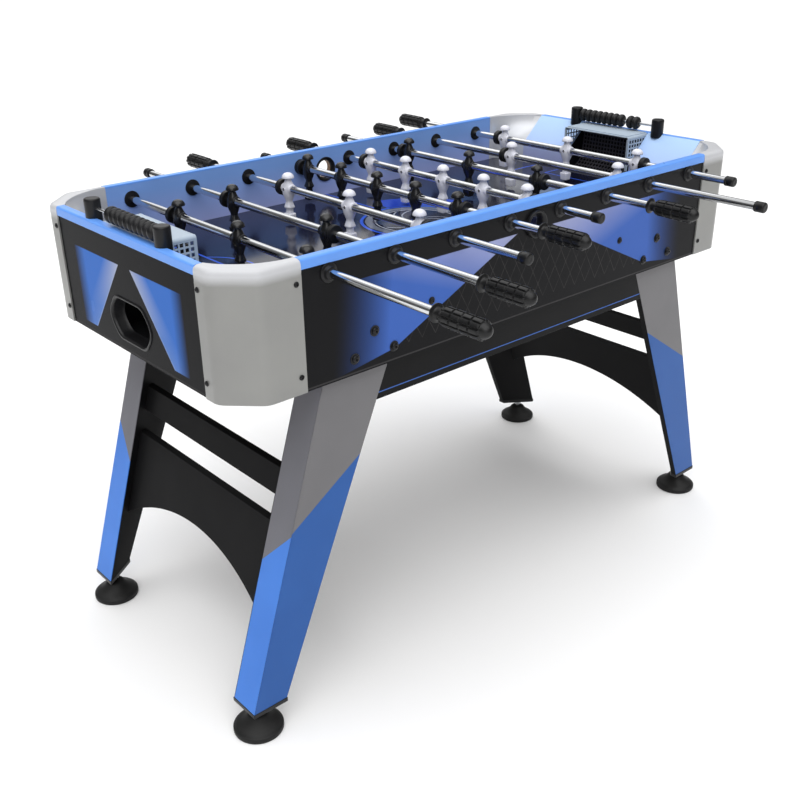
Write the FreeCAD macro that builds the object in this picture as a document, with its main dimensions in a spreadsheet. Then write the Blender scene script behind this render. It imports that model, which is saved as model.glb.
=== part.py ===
import FreeCAD, Part
import Sketcher
import math
import os
from FreeCAD import Placement, Rotation, Vector

# Foosball table.  Millimetres, +Z up, floor at Z = 0.
# X runs along the table, Y across it (the rods lie along Y).
# The origin is the middle of the overall bounding box on the floor, so the
# middle of the cabinet stands at Y = cab_shift.

doc = FreeCAD.newDocument("foosball_table")
sheet = doc.addObject("Spreadsheet::Sheet", "Sizes")

DIMS = [
    # cabinet
    ("cab_shift", 34.0, "middle of the cabinet along Y"),
    ("side_out", 340.0, "outer face of a side panel from the middle"),
    ("end_out", 698.0, "outer face of an end panel from the middle"),
    ("board", 16.0, "thickness of the cabinet boards"),
    ("panel_low", 695.0, "lower edge of the cabinet"),
    ("panel_top", 923.0, "upper edge of the cabinet boards"),
    ("side_end", 618.0, "end of a side panel along X"),
    ("end_side", 264.0, "end of an end panel along Y"),
    ("rail_top", 927.0, "top of the rail trim"),
    ("trim_low", 909.0, "lower edge of the rail trim"),
    ("trim_proud", 1.6, "how far the trim stands proud of the panel"),
    ("cap_proud", 3.0, "thickness of a corner cap's skin"),
    ("cap_x", 561.0, "inner edge of a corner cap on the long side"),
    ("cap_y", 248.0, "inner edge of a corner cap on the end"),
    ("cap_cut_x", 640.0, "corner cap: where the chamfer meets the long side"),
    ("cap_cut_y", 283.0, "corner cap: where the chamfer meets the end"),
    ("cap_round", 30.0, "corner cap: rounding of the chamfer"),
    ("field_top", 815.5, "playing surface"),
    ("field_thk", 12.0, "thickness of the playfield board"),
    ("ramp_face", 614.0, "inner end wall from the middle"),
    ("ramp_knee", 862.0, "where the inner end wall starts to slope"),
    ("ramp_top", 926.0, "upper edge of the sloping end wall"),
    ("goal_front", 604.0, "front of a goal from the middle"),
    ("goal_half", 100.0, "half of a goal's outer width"),
    ("goal_top", 925.0, "top of a goal"),
    ("goal_wall", 2.5, "wall of a goal"),
    # rods
    ("rod_z", 892.6, "rod axis"),
    ("rod_pitch", 144.3, "distance between rods"),
    ("rod_rad", 7.95, "rod radius"),
    ("rod_bore", 6.4, "inner radius of the rod tube"),
    ("bear_bore", 8.0, "bearing bore radius"),
    ("bear_hole", 14.0, "radius of the hole for a bearing"),
    ("bear_flange", 17.0, "bearing flange radius"),
    ("bear_lip", 3.0, "bearing flange thickness"),
    ("bear_hub", 11.5, "radius of the bearing's outer hub"),
    ("bear_nose", 10.0, "how far the hub stands off the panel"),
    ("bump_rad", 17.0, "bumper radius"),
    ("bump_len", 12.0, "bumper length"),
    ("man_boss", 15.0, "half length of a player's boss"),
    ("fit_gap", 0.3, "gap between a bumper and a player"),
    ("cap_tip_in", 380.0, "tip of an end cap when the rod is pushed home"),
    ("grip_in", 420.0, "inner end of a grip when the rod is pushed home"),
    ("grip_len", 112.0, "length of a grip"),
    ("grip_out_1", 14.0, "extra reach of the grip on rod 1"),
    ("tip_out_3", 18.0, "extra reach of the end cap on rod 3"),
    ("tip_out_5", 11.0, "extra reach of the end cap on rod 5"),
    ("tip_len", 22.0, "length of an end cap"),
    ("tip_rad", 10.5, "radius of an end cap"),
    ("men_five", 123.0, "spacing of five players"),
    ("men_three", 208.0, "spacing of three players"),
    ("men_two", 314.0, "spacing of two players"),
    # where each rod stands in the stored pose
    ("shift_a", -76.0, "rod 1"),
    ("shift_b", 7.5, "rod 2"),
    ("shift_c", -37.0, "rod 3"),
    ("shift_d", 47.4, "rod 4"),
    ("shift_e", -5.5, "rod 5"),
    ("shift_f", 58.5, "rod 6"),
    ("shift_g", -98.5, "rod 7"),
    ("shift_i", 8.0, "rod 8"),
    # legs
    ("leg_y", 324.0, "outer face of a leg's side board"),
    ("leg_yin", 254.0, "inner edge of a leg's end board"),
    ("leg_low", 65.0, "lower end of a leg board"),
    ("leg_high", 782.0, "upper end of a leg board"),
    ("leg_out_top", 513.5, "outer edge of a leg at the cabinet's lower edge"),
    ("leg_out_low", 714.0, "outer edge of a leg at its lower end"),
    ("leg_in_top", 364.5, "inner edge of a leg at the cabinet's lower edge"),
    ("leg_in_low", 638.0, "inner edge of a leg at its lower end"),
    ("leg_board", 15.0, "thickness of the leg boards"),
    ("leg_skin", 5.5, "thickness of the diagonal board"),
    ("foot_x", 688.0, "leveling foot"),
    ("foot_y", 293.0, "leveling foot"),
    ("foot_rad", 49.0, "radius of a leveling foot"),
    ("stud_rad", 5.0, "radius of the leveling stud"),
    ("foot_cap", 54.0, "lower face of a leg's end cap"),
    ("apron_low", 622.0, "lower edge of an apron"),
    ("brace_back", 20.0, "end brace behind the leg's end face"),
    ("brace_thk", 15.0, "thickness of an end brace"),
    # small parts
    ("post_x", 681.4, "scorer post"),
    ("post_y", 126.0, "scorer post"),
    ("post_rad", 15.0, "scorer post radius"),
    ("post_top", 962.0, "top of a scorer post"),
    ("post_low", 918.0, "foot of a scorer post where it laps over the rail"),
    ("wire_z", 945.0, "scorer wire"),
    ("wire_rad", 3.0, "scorer wire radius"),
    ("bead_rad", 15.5, "scorer bead radius"),
    ("bead_len", 17.0, "scorer bead length"),
    ("cup_z", 760.0, "middle of the ball return opening"),
    ("cup_half", 72.0, "half width of the ball return opening"),
    ("cup_rise", 39.0, "half height of the ball return opening"),
    ("entry_z", 876.0, "ball entry"),
    ("entry_rad", 22.0, "radius of the hole for the ball entry"),
    ("entry_ring", 29.0, "radius of the ball entry's ring"),
    ("bolt_rad", 4.0, "leg bolt radius"),
    ("screw_rad", 2.0, "cap screw radius"),
]
for row, (alias, number, note) in enumerate(DIMS, start=1):
    sheet.set("A%d" % row, note)
    sheet.set("B%d" % row, str(number))
    sheet.setAlias("B%d" % row, alias)
doc.recompute()


class Size(object):
    """A number together with the spreadsheet formula that gives it."""

    def __init__(self, number, formula=None):
        self.v = float(number)
        self.s = formula if formula is not None else repr(float(number))

    @staticmethod
    def of(other):
        return other if isinstance(other, Size) else Size(other)

    def __add__(self, o):
        o = Size.of(o)
        return Size(self.v + o.v, "(%s + %s)" % (self.s, o.s))

    __radd__ = __add__

    def __sub__(self, o):
        o = Size.of(o)
        return Size(self.v - o.v, "(%s - %s)" % (self.s, o.s))

    def __rsub__(self, o):
        return Size.of(o) - self

    def __mul__(self, o):
        o = Size.of(o)
        return Size(self.v * o.v, "(%s * %s)" % (self.s, o.s))

    __rmul__ = __mul__

    def __truediv__(self, o):
        o = Size.of(o)
        return Size(self.v / o.v, "(%s / %s)" % (self.s, o.s))

    def __neg__(self):
        return Size(-self.v, "(-%s)" % self.s)


def par(alias):
    return Size(float(sheet.get(alias)), "Sizes." + alias)


def num(alias):
    return float(sheet.get(alias))


def bind(obj, prop, size):
    size = Size.of(size)
    if not prop.startswith("."):
        setattr(obj, prop, size.v)
    obj.setExpression(prop, size.s)


nodes = []


def node(obj, label, shift=None):
    """Register a finished piece: its Label names its file."""
    obj.Label = label
    y = par("cab_shift") if shift is None else par("cab_shift") + shift
    pl = obj.Placement
    obj.Placement = Placement(Vector(pl.Base.x, y.v, pl.Base.z), pl.Rotation)
    obj.setExpression(".Placement.Base.y", y.s)
    nodes.append(obj)
    return obj


# ---------------------------------------------------------------- sketches
def plane_of(body, role):
    for f in body.Origin.OriginFeatures:
        if f.Role == role:
            return f
    raise RuntimeError("no plane " + role)


def sketch(body, name, role, polys=(), circles=(), offset=None):
    sk = body.newObject("Sketcher::SketchObject", name)
    sk.AttachmentSupport = [(plane_of(body, role), "")]
    sk.MapMode = "FlatFace"
    if offset is not None:
        offset = Size.of(offset)
        sk.AttachmentOffset = Placement(Vector(0, 0, offset.v), Rotation())
        sk.setExpression(".AttachmentOffset.Base.z", offset.s)
    for poly in polys:
        pts = [(Size.of(x), Size.of(y)) for x, y in poly]
        n = len(pts)
        first = sk.GeometryCount
        for i in range(n):
            a, b = pts[i], pts[(i + 1) % n]
            sk.addGeometry(Part.LineSegment(Vector(a[0].v, a[1].v, 0), Vector(b[0].v, b[1].v, 0)), False)
        for i in range(n):
            sk.addConstraint(Sketcher.Constraint("Coincident", first + i, 2, first + (i + 1) % n, 1))
        for i, (x, y) in enumerate(pts):
            place_point(sk, first + i, 1, x, y)
    for x, y, r in circles:
        x, y, r = Size.of(x), Size.of(y), Size.of(r)
        c = sk.addGeometry(Part.Circle(Vector(x.v, y.v, 0), Vector(0, 0, 1), r.v), False)
        place_point(sk, c, 3, x, y)
        k = sk.addConstraint(Sketcher.Constraint("Radius", c, r.v))
        sk.setExpression("Constraints[%d]" % k, r.s)
    return sk


def place_point(sk, geo, pos, x, y):
    if abs(x.v) < 1e-9:
        sk.addConstraint(Sketcher.Constraint("PointOnObject", geo, pos, -2))
    else:
        k = sk.addConstraint(Sketcher.Constraint("DistanceX", -1, 1, geo, pos, x.v))
        sk.setExpression("Constraints[%d]" % k, x.s)
    if abs(y.v) < 1e-9:
        sk.addConstraint(Sketcher.Constraint("PointOnObject", geo, pos, -1))
    else:
        k = sk.addConstraint(Sketcher.Constraint("DistanceY", -1, 1, geo, pos, y.v))
        sk.setExpression("Constraints[%d]" % k, y.s)


def new_body(name):
    return doc.addObject("PartDesign::Body", name)


def pad(body, sk, length, name, reverse=False):
    f = body.newObject("PartDesign::Pad", name)
    f.Profile = sk
    bind(f, "Length", length)
    f.Reversed = reverse
    sk.Visibility = False
    return f


def pocket(body, sk, length, name, reverse=False):
    f = body.newObject("PartDesign::Pocket", name)
    f.Profile = sk
    bind(f, "Length", length)
    f.Reversed = reverse
    sk.Visibility = False
    return f


def revolution(body, sk, name, axis="V_Axis"):
    f = body.newObject("PartDesign::Revolution", name)
    f.Profile = sk
    f.ReferenceAxis = (sk, [axis])
    f.Angle = 360.0
    sk.Visibility = False
    return f


def box(name, x0, x1, y0, y1, z0, z1):
    """A Part::Box between two corners, all six values bound to the sheet."""
    b = doc.addObject("Part::Box", name)
    x0, x1, y0, y1, z0, z1 = [Size.of(q) for q in (x0, x1, y0, y1, z0, z1)]
    bind(b, "Length", x1 - x0)
    bind(b, "Width", y1 - y0)
    bind(b, "Height", z1 - z0)
    b.Placement = Placement(Vector(x0.v, y0.v, z0.v), Rotation())
    b.setExpression(".Placement.Base.x", x0.s)
    b.setExpression(".Placement.Base.y", y0.s)
    b.setExpression(".Placement.Base.z", z0.s)
    return b


def cyl_y(name, x, y0, y1, z, r):
    """A Part::Cylinder lying along Y from y0 to y1."""
    c = doc.addObject("Part::Cylinder", name)
    x, y0, y1, z, r = [Size.of(q) for q in (x, y0, y1, z, r)]
    bind(c, "Radius", r)
    bind(c, "Height", y1 - y0)
    c.Placement = Placement(Vector(x.v, y0.v, z.v), Rotation(Vector(1, 0, 0), -90))
    c.setExpression(".Placement.Base.x", x.s)
    c.setExpression(".Placement.Base.y", y0.s)
    c.setExpression(".Placement.Base.z", z.s)
    return c


def compound(name, links):
    c = doc.addObject("Part::Compound", name)
    c.Links = links
    return c


def fuse(name, shapes):
    f = doc.addObject("Part::MultiFuse", name)
    f.Shapes = shapes
    f.Refine = True
    return f


def cut(name, base, tool):
    f = doc.addObject("Part::Cut", name)
    f.Base = base
    f.Tool = tool
    return f


def mirror(name, source, normal):
    m = doc.addObject("Part::Mirroring", name)
    m.Source = source
    m.Base = Vector(0, 0, 0)
    m.Normal = normal
    return m


def plain(name, shape):
    """A Part::Feature whose shape is worked out from the sheet's numbers."""
    f = doc.addObject("Part::Feature", name)
    f.Shape = shape
    return f


AX = Vector(1, 0, 0)
AY = Vector(0, 1, 0)
AZ = Vector(0, 0, 1)

ROD_X = [(i - 3.5) * par("rod_pitch") for i in range(8)]
SHIFT = ["shift_a", "shift_b", "shift_c", "shift_d", "shift_e", "shift_f", "shift_g", "shift_i"]
TEAM = [3, 2, 3, 5, 5, 3, 2, 3]
NEAR_GRIP = [True, True, False, True, False, True, False, False]
inner = par("side_out") - par("board")
end_in = par("end_out") - par("board")
HOLE = Size(0.2)

# positions of the leg bolts, the apron bolts and the cap screws
LEG_BOLTS = [(410.0, 765.0), (366.0, 724.0), (456.0, 725.0)]
CLEAT_BOLT = (274.0, 787.0)
CAP_SIDE = [(572.0, 888.0), (572.0, 726.0)]
CAP_END = [(256.0, 888.0), (256.0, 726.0)]


# ---------------------------------------------------------------- side panels
def side_panel(name, label, front):
    """Long side board, drilled for bearings, ball entry, bolts and screws."""
    b = new_body(name)
    e = par("side_end")
    lo, hi = par("panel_low"), par("panel_top")
    # the XZ plane's sketch looks along -Y, so a front board starts at +inner
    off = inner if front else -par("side_out")
    s = sketch(b, name + "_outline", "XZ_Plane", [[(-e, lo), (e, lo), (e, hi), (-e, hi)]], offset=off)
    pad(b, s, par("board"), name + "_pad")
    first = sketch(b, name + "_bearing", "XZ_Plane", circles=[(ROD_X[0], par("rod_z"), par("bear_hole"))], offset=off)
    p = pocket(b, first, par("board"), name + "_bearing_hole", reverse=True)
    doc.recompute()
    pat = b.newObject("PartDesign::LinearPattern", name + "_bearing_holes")
    pat.Originals = [p]
    pat.Direction = (first, ["H_Axis"])
    bind(pat, "Length", 7 * par("rod_pitch"))
    pat.Occurrences = 8
    b.Tip = pat
    doc.recompute()
    small = []
    for sx in (-1, 1):
        for x, z in LEG_BOLTS:
            small.append((sx * x, z, par("bolt_rad") + HOLE))
        small.append((sx * CLEAT_BOLT[0], CLEAT_BOLT[1], par("bolt_rad") + HOLE))
        for x, z in CAP_SIDE:
            small.append((sx * x, z, par("screw_rad") + HOLE))
    small.append((Size(0), par("entry_z"), par("entry_rad")))
    s2 = sketch(b, name + "_drilling", "XZ_Plane", circles=small, offset=off)
    pocket(b, s2, par("board"), name + "_drilled", reverse=True)
    doc.recompute()
    return node(b, label)


side_panel("PanelFront", "side_panel_front", True)
side_panel("PanelRear", "side_panel_rear", False)


# ---------------------------------------------------------------- end panels
def hexagon(scale=0.0):
    """Outline of the ball return opening: a wide hexagon with short slopes."""
    w, r = par("cup_half") + scale, par("cup_rise") + scale
    z = par("cup_z")
    return [(-w, z - 0.25 * r), (-0.66 * w, z - r), (0.66 * w, z - r), (w, z - 0.25 * r),
            (w, z + 0.25 * r), (0.66 * w, z + r), (-0.66 * w, z + r), (-w, z + 0.25 * r)]


def end_panel(name, label, right):
    b = new_body(name)
    e = par("end_side")
    lo, hi = par("panel_low"), par("panel_top")
    off = end_in if right else -par("end_out")
    s = sketch(b, name + "_outline", "YZ_Plane", [[(-e, lo), (e, lo), (e, hi), (-e, hi)]], offset=off)
    pad(b, s, par("board"), name + "_pad")
    s2 = sketch(b, name + "_opening", "YZ_Plane", [hexagon()], offset=off)
    pocket(b, s2, par("board"), name + "_ball_opening", reverse=True)
    small = [(sy * y, z, par("screw_rad") + HOLE) for sy in (-1, 1) for y, z in CAP_END]
    s3 = sketch(b, name + "_drilling", "YZ_Plane", circles=small, offset=off)
    pocket(b, s3, par("board"), name + "_drilled", reverse=True)
    doc.recompute()
    return node(b, label)


end_panel("EndLeft", "end_panel_left", False)
end_panel("EndRight", "end_panel_right", True)

# ---------------------------------------------------------------- playfield
b = new_body("Field")
g = par("goal_half") - 5.5
px = end_in
pit = par("ramp_face") + 2
qx, qy = px - 34, inner - 34
s = sketch(b, "Field_outline", "XY_Plane", [[
    (-qx, -inner), (qx, -inner), (px, -qy), (px, -g), (pit, -g), (pit, g), (px, g), (px, qy),
    (qx, inner), (-qx, inner), (-px, qy), (-px, g), (-pit, g), (-pit, -g), (-px, -g), (-px, -qy)]],
    offset=par("field_top") - par("field_thk"))
pad(b, s, par("field_thk"), "Field_pad")
node(b, "playfield")

# sloping inner end walls: four blocks, one each side of each goal
b = new_body("Ramp")
s = sketch(b, "Ramp_outline", "XZ_Plane", [[
    (par("ramp_face"), par("field_top")), (end_in, par("field_top")),
    (end_in, par("ramp_top")), (par("ramp_face"), par("ramp_knee"))]], offset=par("goal_half"))
pad(b, s, par("cap_y") - par("goal_half"), "Ramp_pad")
ramp = b
ramps = [ramp, mirror("Ramp_rr", ramp, AY), mirror("Ramp_fl", ramp, AX)]
ramps.append(mirror("Ramp_rl", ramps[1], AX))
node(compound("EndWalls", ramps), "sloped_end_walls")

# playfield supports: side cleats, cross bearers and corner blocks
under = par("field_top") - par("field_thk")
parts = []
for sy, tag in ((-1, "f"), (1, "r")):
    y0, y1 = (-inner, -inner + 20) if sy < 0 else (inner - 20, inner)
    c = box("Cleat_" + tag, -590, 590, y0, y1, under - 20, under)
    holes = []
    for sx in (-1, 1):
        h = cyl_y("CleatHole_%s%d" % (tag, sx), sx * CLEAT_BOLT[0], y0 - 1, y1 + 1, CLEAT_BOLT[1], par("bolt_rad") + HOLE)
        holes.append(h)
    parts.append(cut("CleatCut_" + tag, c, compound("CleatHoles_" + tag, holes)))
for k, x in enumerate((-300.0, 0.0, 300.0)):
    parts.append(box("Bearer_%d" % k, x - 8, x + 8, -inner + 20, inner - 20, under - 40, under))
b = new_body("Block")
s = sketch(b, "Block_outline", "XY_Plane", [[
    (594, inner - 40), (594, inner), (par("side_end") + 14, inner), (end_in, par("end_side") + 14),
    (end_in, par("end_side") - 30), (end_in - 40, par("end_side") - 30)]], offset=par("panel_low") + 5)
pad(b, s, under - par("panel_low") - 5, "Block_pad")
blocks = [b, mirror("Block_f", b, AY), mirror("Block_l", b, AX)]
blocks.append(mirror("Block_fl", blocks[1], AX))
parts += blocks
node(compound("Supports", parts), "playfield_supports")

# ---------------------------------------------------------------- rail trims
tp = par("trim_proud")


def trim_profile(inner_edge, outer):
    return [(inner_edge, par("panel_top")), (outer, par("panel_top")), (outer, par("trim_low")),
            (outer + tp, par("trim_low")), (outer + tp, par("rail_top") - 3),
            (outer + tp - 2.5, par("rail_top")), (inner_edge, par("rail_top"))]


b = new_body("TrimSide")
s = sketch(b, "TrimSide_profile", "YZ_Plane", [trim_profile(inner, par("side_out"))], offset=-par("cap_x"))
pad(b, s, 2 * par("cap_x"), "TrimSide_pad")
b2 = new_body("TrimEnd")
s = sketch(b2, "TrimEnd_profile", "XZ_Plane", [trim_profile(end_in, par("end_out"))], offset=-par("cap_y"))
pad(b2, s, 2 * par("cap_y"), "TrimEnd_pad")
node(compound("Trims", [b, mirror("TrimSide_f", b, AY), b2, mirror("TrimEnd_l", b2, AX)]), "top_rail_trims")


# ---------------------------------------------------------------- corner caps
def cap_outline(inset, z, round_r, height):
    """Prism over the quarter plan of the corner, outer line moved in by inset."""
    so = num("side_out") + num("cap_proud") - inset
    eo = num("end_out") + num("cap_proud") - inset
    k = inset * math.tan(math.radians(22.5))
    p1 = Vector(num("cap_cut_x") - k, so, z)
    p2 = Vector(eo, num("cap_cut_y") - k, z)
    pts = [Vector(num("cap_x"), so, z), p1, p2, Vector(eo, num("cap_y"), z), Vector(num("cap_x"), num("cap_y"), z)]
    wire = Part.makePolygon(pts + [pts[0]])
    solid = Part.Face(wire).extrude(Vector(0, 0, height))
    edges = []
    for e in solid.Edges:
        if len(e.Vertexes) == 2:
            a, c = e.Vertexes[0].Point, e.Vertexes[1].Point
            if abs(a.x - c.x) < 1e-6 and abs(a.y - c.y) < 1e-6:
                if (Vector(a.x, a.y, z) - p1).Length < 1e-3 or (Vector(a.x, a.y, z) - p2).Length < 1e-3:
                    edges.append(e)
    return solid.makeFillet(round_r, edges)


def strip(z, a, m, c, a2, m2, c2):
    """Closed thin wire between two arcs, at height z."""
    def v(p):
        return Vector(p[0], p[1], z)
    return Part.Wire([
        Part.Arc(v(a), v(m), v(c)).toShape(), Part.LineSegment(v(c), v(c2)).toShape(),
        Part.Arc(v(c2), v(m2), v(a2)).toShape(), Part.LineSegment(v(a2), v(a)).toShape()])


low, top, lip = num("panel_low"), num("panel_top"), num("rail_top")
fz, knee = num("field_top"), num("ramp_knee")
ywall = num("side_out") - num("board")
rf = num("ramp_face")
outer = cap_outline(0.0, low, num("cap_round"), top - low)
hollow = cap_outline(num("cap_proud"), low - 1, num("cap_round") - 3, top - low + 2)
skin = outer.cut(hollow)
# inner curved wall: upright below the knee, then flaring with the end wall
A0, M0, C0 = (577.0, ywall), (603.0, 297.0), (rf, num("cap_y"))
A1, M1, C1 = (580.0, ywall), (605.4, 298.8), (rf + 3.0, num("cap_y"))
B0, N0, D0 = (577.0, ywall), (650.0, 289.0), (num("end_out") - num("board") - 1.6, num("cap_y"))
B1, N1, D1 = (580.0, ywall), (652.0, 291.4), (num("end_out") - num("board") - 0.4, num("cap_y") + 3.0)
w_low = strip(fz, A0, M0, C0, A1, M1, C1)
w_mid = strip(knee, A0, M0, C0, A1, M1, C1)
w_top = strip(top, B0, N0, D0, B1, N1, D1)
wall_low = Part.makeLoft([w_low, w_mid], True, True)
wall_high = Part.makeLoft([w_mid, w_top], True, True)
# top lip: from the outer line in to the curved wall
lip_plate = cap_outline(0.0, top, num("cap_round"), lip - top)
cutter = Part.Face(Part.Wire([
    Part.Arc(Vector(B0[0], B0[1], top - 1), Vector(N0[0], N0[1], top - 1), Vector(D0[0], D0[1], top - 1)).toShape(),
    Part.LineSegment(Vector(D0[0], D0[1], top - 1), Vector(D0[0], D0[1] - 50, top - 1)).toShape(),
    Part.LineSegment(Vector(D0[0], D0[1] - 50, top - 1), Vector(500, D0[1] - 50, top - 1)).toShape(),
    Part.LineSegment(Vector(500, D0[1] - 50, top - 1), Vector(500, ywall, top - 1)).toShape(),
    Part.LineSegment(Vector(500, ywall, top - 1), Vector(B0[0], B0[1], top - 1)).toShape()])).extrude(Vector(0, 0, 10))
lip_plate = lip_plate.cut(cutter)
cap = skin.fuse([lip_plate, wall_high, wall_low]).removeSplitter()
for x, z in CAP_SIDE:
    cap = cap.cut(Part.makeCylinder(num("screw_rad") + 0.2, 10, Vector(x, num("side_out") - 2, z), AY))
for y, z in CAP_END:
    cap = cap.cut(Part.makeCylinder(num("screw_rad") + 0.2, 10, Vector(num("end_out") - 2, y, z), AX))
cap_one = plain("Cap_rr", cap)
caps = [cap_one, mirror("Cap_fr", cap_one, AY), mirror("Cap_rl", cap_one, AX)]
caps.append(mirror("Cap_fl", caps[1], AX))
node(compound("Caps", caps), "corner_caps")


# ---------------------------------------------------------------- legs
def leg_x(z, edge):
    """Outer or inner edge of a leg's side face at height z."""
    t = (par("panel_low") - z) / (par("panel_low") - par("leg_low"))
    if edge == "out":
        return par("leg_out_top") + (par("leg_out_low") - par("leg_out_top")) * t
    return par("leg_in_top") + (par("leg_in_low") - par("leg_in_top")) * t


def leg_triangle(z):
    xi, xo = leg_x(z, "in"), leg_x(z, "out")
    return [(xi, par("leg_y")), (xo, par("leg_y")), (xo, par("leg_yin"))]


def leg_hollow(z):
    """Inner triangle: boards leg_board thick and the diagonal leg_skin thick."""
    xi, xo = leg_x(z, "in").v, leg_x(z, "out").v
    yo, yi = num("leg_y"), num("leg_yin")
    tb, ts = num("leg_board"), num("leg_skin")
    dx, dy = xo - xi, yi - yo
    ln = math.hypot(dx, dy)
    # diagonal moved towards the corner: points satisfy n.(p - a) = ts
    nx, ny = -dy / ln, dx / ln
    yl, xl = yo - tb, xo - tb * 1.05

    def x_at(y):
        return xi + (ts - ny * (y - yo)) / nx

    def y_at(x):
        return yo + (ts - nx * (x - xi)) / ny
    return [(x_at(yl), yl), (xl, yl), (xl, y_at(xl))]


def tri_wire(points, z):
    v = [Vector(Size.of(x).v, Size.of(y).v, z) for x, y in points]
    return Part.makePolygon(v + [v[0]])


z0, z1 = num("leg_low"), num("leg_high")
leg_full = Part.makeLoft([tri_wire(leg_triangle(Size(z0)), z0), tri_wire(leg_triangle(Size(z1)), z1)], True, True)
leg_void = Part.makeLoft([tri_wire(leg_hollow(Size(z0)), z0), tri_wire(leg_hollow(Size(z1)), z1)], True, True)
leg = leg_full.cut(leg_void)
for x, z in LEG_BOLTS:
    leg = leg.cut(Part.makeCylinder(num("bolt_rad") + 0.2, 40, Vector(x, num("leg_y") + 5, z), Vector(0, -1, 0)))
leg_rr = plain("Leg_rr", leg)
leg_fr = mirror("Leg_fr", leg_rr, AY)
leg_rl = mirror("Leg_rl", leg_rr, AX)
leg_fl = mirror("Leg_fl", leg_fr, AX)

# end caps of the legs, bored for the studs
b = new_body("LegCap")
s = sketch(b, "LegCap_outline", "XY_Plane", [leg_triangle(par("leg_low"))],
           circles=[(par("foot_x"), par("foot_y"), par("stud_rad") + 0.05)], offset=par("foot_cap"))
pad(b, s, par("leg_low") - par("foot_cap"), "LegCap_pad")
legcaps = [b, mirror("LegCap_f", b, AY), mirror("LegCap_l", b, AX)]
legcaps.append(mirror("LegCap_fl", legcaps[1], AX))


# ---------------------------------------------------------------- leveling feet
def leveler(name, label, sx, sy):
    """Pad, stud and jam nut in one turned piece with a hexagon."""
    b = new_body(name)
    r = par("foot_rad")
    sr = par("stud_rad")
    s = sketch(b, name + "_profile", "XZ_Plane", [[
        (0, 0), (r - 2, 0), (r, 2), (r, 11), (r - 3, 15), (r - 13, 21), (r - 25, 30), (r - 33, 38),
        (sr, 39), (sr, 80), (0, 80)]])
    revolution(b, s, name + "_turned")
    hexa = [(9.8 * math.cos(math.radians(60 * i)), 9.8 * math.sin(math.radians(60 * i))) for i in range(6)]
    s2 = sketch(b, name + "_nut", "XY_Plane", [hexa], offset=par("foot_cap") - 10.3)
    pad(b, s2, 10, name + "_nut_pad")
    b.Label = label
    x, y = sx * par("foot_x"), sy * par("foot_y") + par("cab_shift")
    b.Placement = Placement(Vector(x.v, y.v, 0), Rotation())
    b.setExpression(".Placement.Base.x", x.s)
    b.setExpression(".Placement.Base.y", y.s)
    nodes.append(b)


node(compound("LegFrontLeft", [leg_fl]), "leg_front_left")
node(compound("LegFrontRight", [leg_fr]), "leg_front_right")
node(compound("LegRearLeft", [leg_rl]), "leg_rear_left")
node(compound("LegRearRight", [leg_rr]), "leg_rear_right")
node(compound("LegCaps", legcaps), "leg_end_caps")
leveler("FootFl", "leveler_front_left", -1, -1)
leveler("FootFr", "leveler_front_right", 1, -1)
leveler("FootRl", "leveler_rear_left", -1, 1)
leveler("FootRr", "leveler_rear_right", 1, 1)

# ---------------------------------------------------------------- aprons
b = new_body("Apron")
az1 = par("leg_high")
al = par("apron_low")
s = sketch(b, "Apron_outline", "XZ_Plane", [[
    (-leg_x(al, "in"), al), (leg_x(al, "in"), al), (leg_x(az1, "in"), az1), (-leg_x(az1, "in"), az1)]], offset=-par("leg_y"))
pad(b, s, par("leg_board"), "Apron_pad")
node(compound("Aprons", [b, mirror("Apron_f", b, AY)]), "lower_aprons")


# ---------------------------------------------------------------- end braces
def brace_slab(z_lo, z_hi):
    """Slanted slab that follows the legs' outer edges."""
    back, thk = num("brace_back"), num("brace_thk") * 1.05
    pts = []
    for z, d in ((z_lo, back), (z_hi, back), (z_hi, back + thk), (z_lo, back + thk)):
        pts.append(Vector(leg_x(Size(z), "out").v - d, -300, z))
    return Part.Face(Part.makePolygon(pts + [pts[0]])).extrude(Vector(0, 600, 0))


slab = brace_slab(150.0, 503.0)
rail = slab.common(Part.makeBox(800, 600, 51, Vector(0, -300, 452)))
arch = slab.common(Part.makeBox(800, 600, 253, Vector(0, -300, 150)))
arch = arch.cut(Part.makeCylinder(485, 800, Vector(0, 0, 296 - 485), AX))
braces = []
for piece in (rail, arch):
    for sy in (1, -1):
        tool = leg_full if sy > 0 else leg_full.mirror(Vector(0, 0, 0), AY)
        piece = piece.cut(tool)
    main = max(piece.Solids, key=lambda q: q.Volume)
    braces.append(main)
b0 = plain("Brace_rail", braces[0])
b1 = plain("Brace_arch", braces[1])
node(compound("Braces", [b0, b1, mirror("Brace_rail_l", b0, AX), mirror("Brace_arch_l", b1, AX)]), "end_braces")

# ---------------------------------------------------------------- goals
gw = par("goal_wall")
gh = par("goal_half")
outer_box = box("Goal_outer", par("goal_front"), end_in - 0.2, -gh, gh, par("field_top"), par("goal_top"))
inner_box = box("Goal_inner", par("goal_front") - 1, end_in + 1, -gh + gw, gh - gw, par("field_top") - 1, par("goal_top") - gw)
goal = cut("Goal_shell", outer_box, inner_box)
b = new_body("GoalFrame")
s = sketch(b, "GoalFrame_outline", "YZ_Plane", [
    [(-gh, par("field_top")), (-gh + 6, par("field_top")), (-gh + 6, par("goal_top") - 3), (gh - 6, par("goal_top") - 3),
     (gh - 6, par("field_top")), (gh, par("field_top")), (gh, par("goal_top")), (-gh, par("goal_top"))]], offset=par("goal_front"))
pad(b, s, 3, "GoalFrame_pad")
goal_r = fuse("Goal_right", [goal, b])
node(compound("Goals", [goal_r, mirror("Goal_left", goal_r, AX)]), "goal_boxes")

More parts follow.
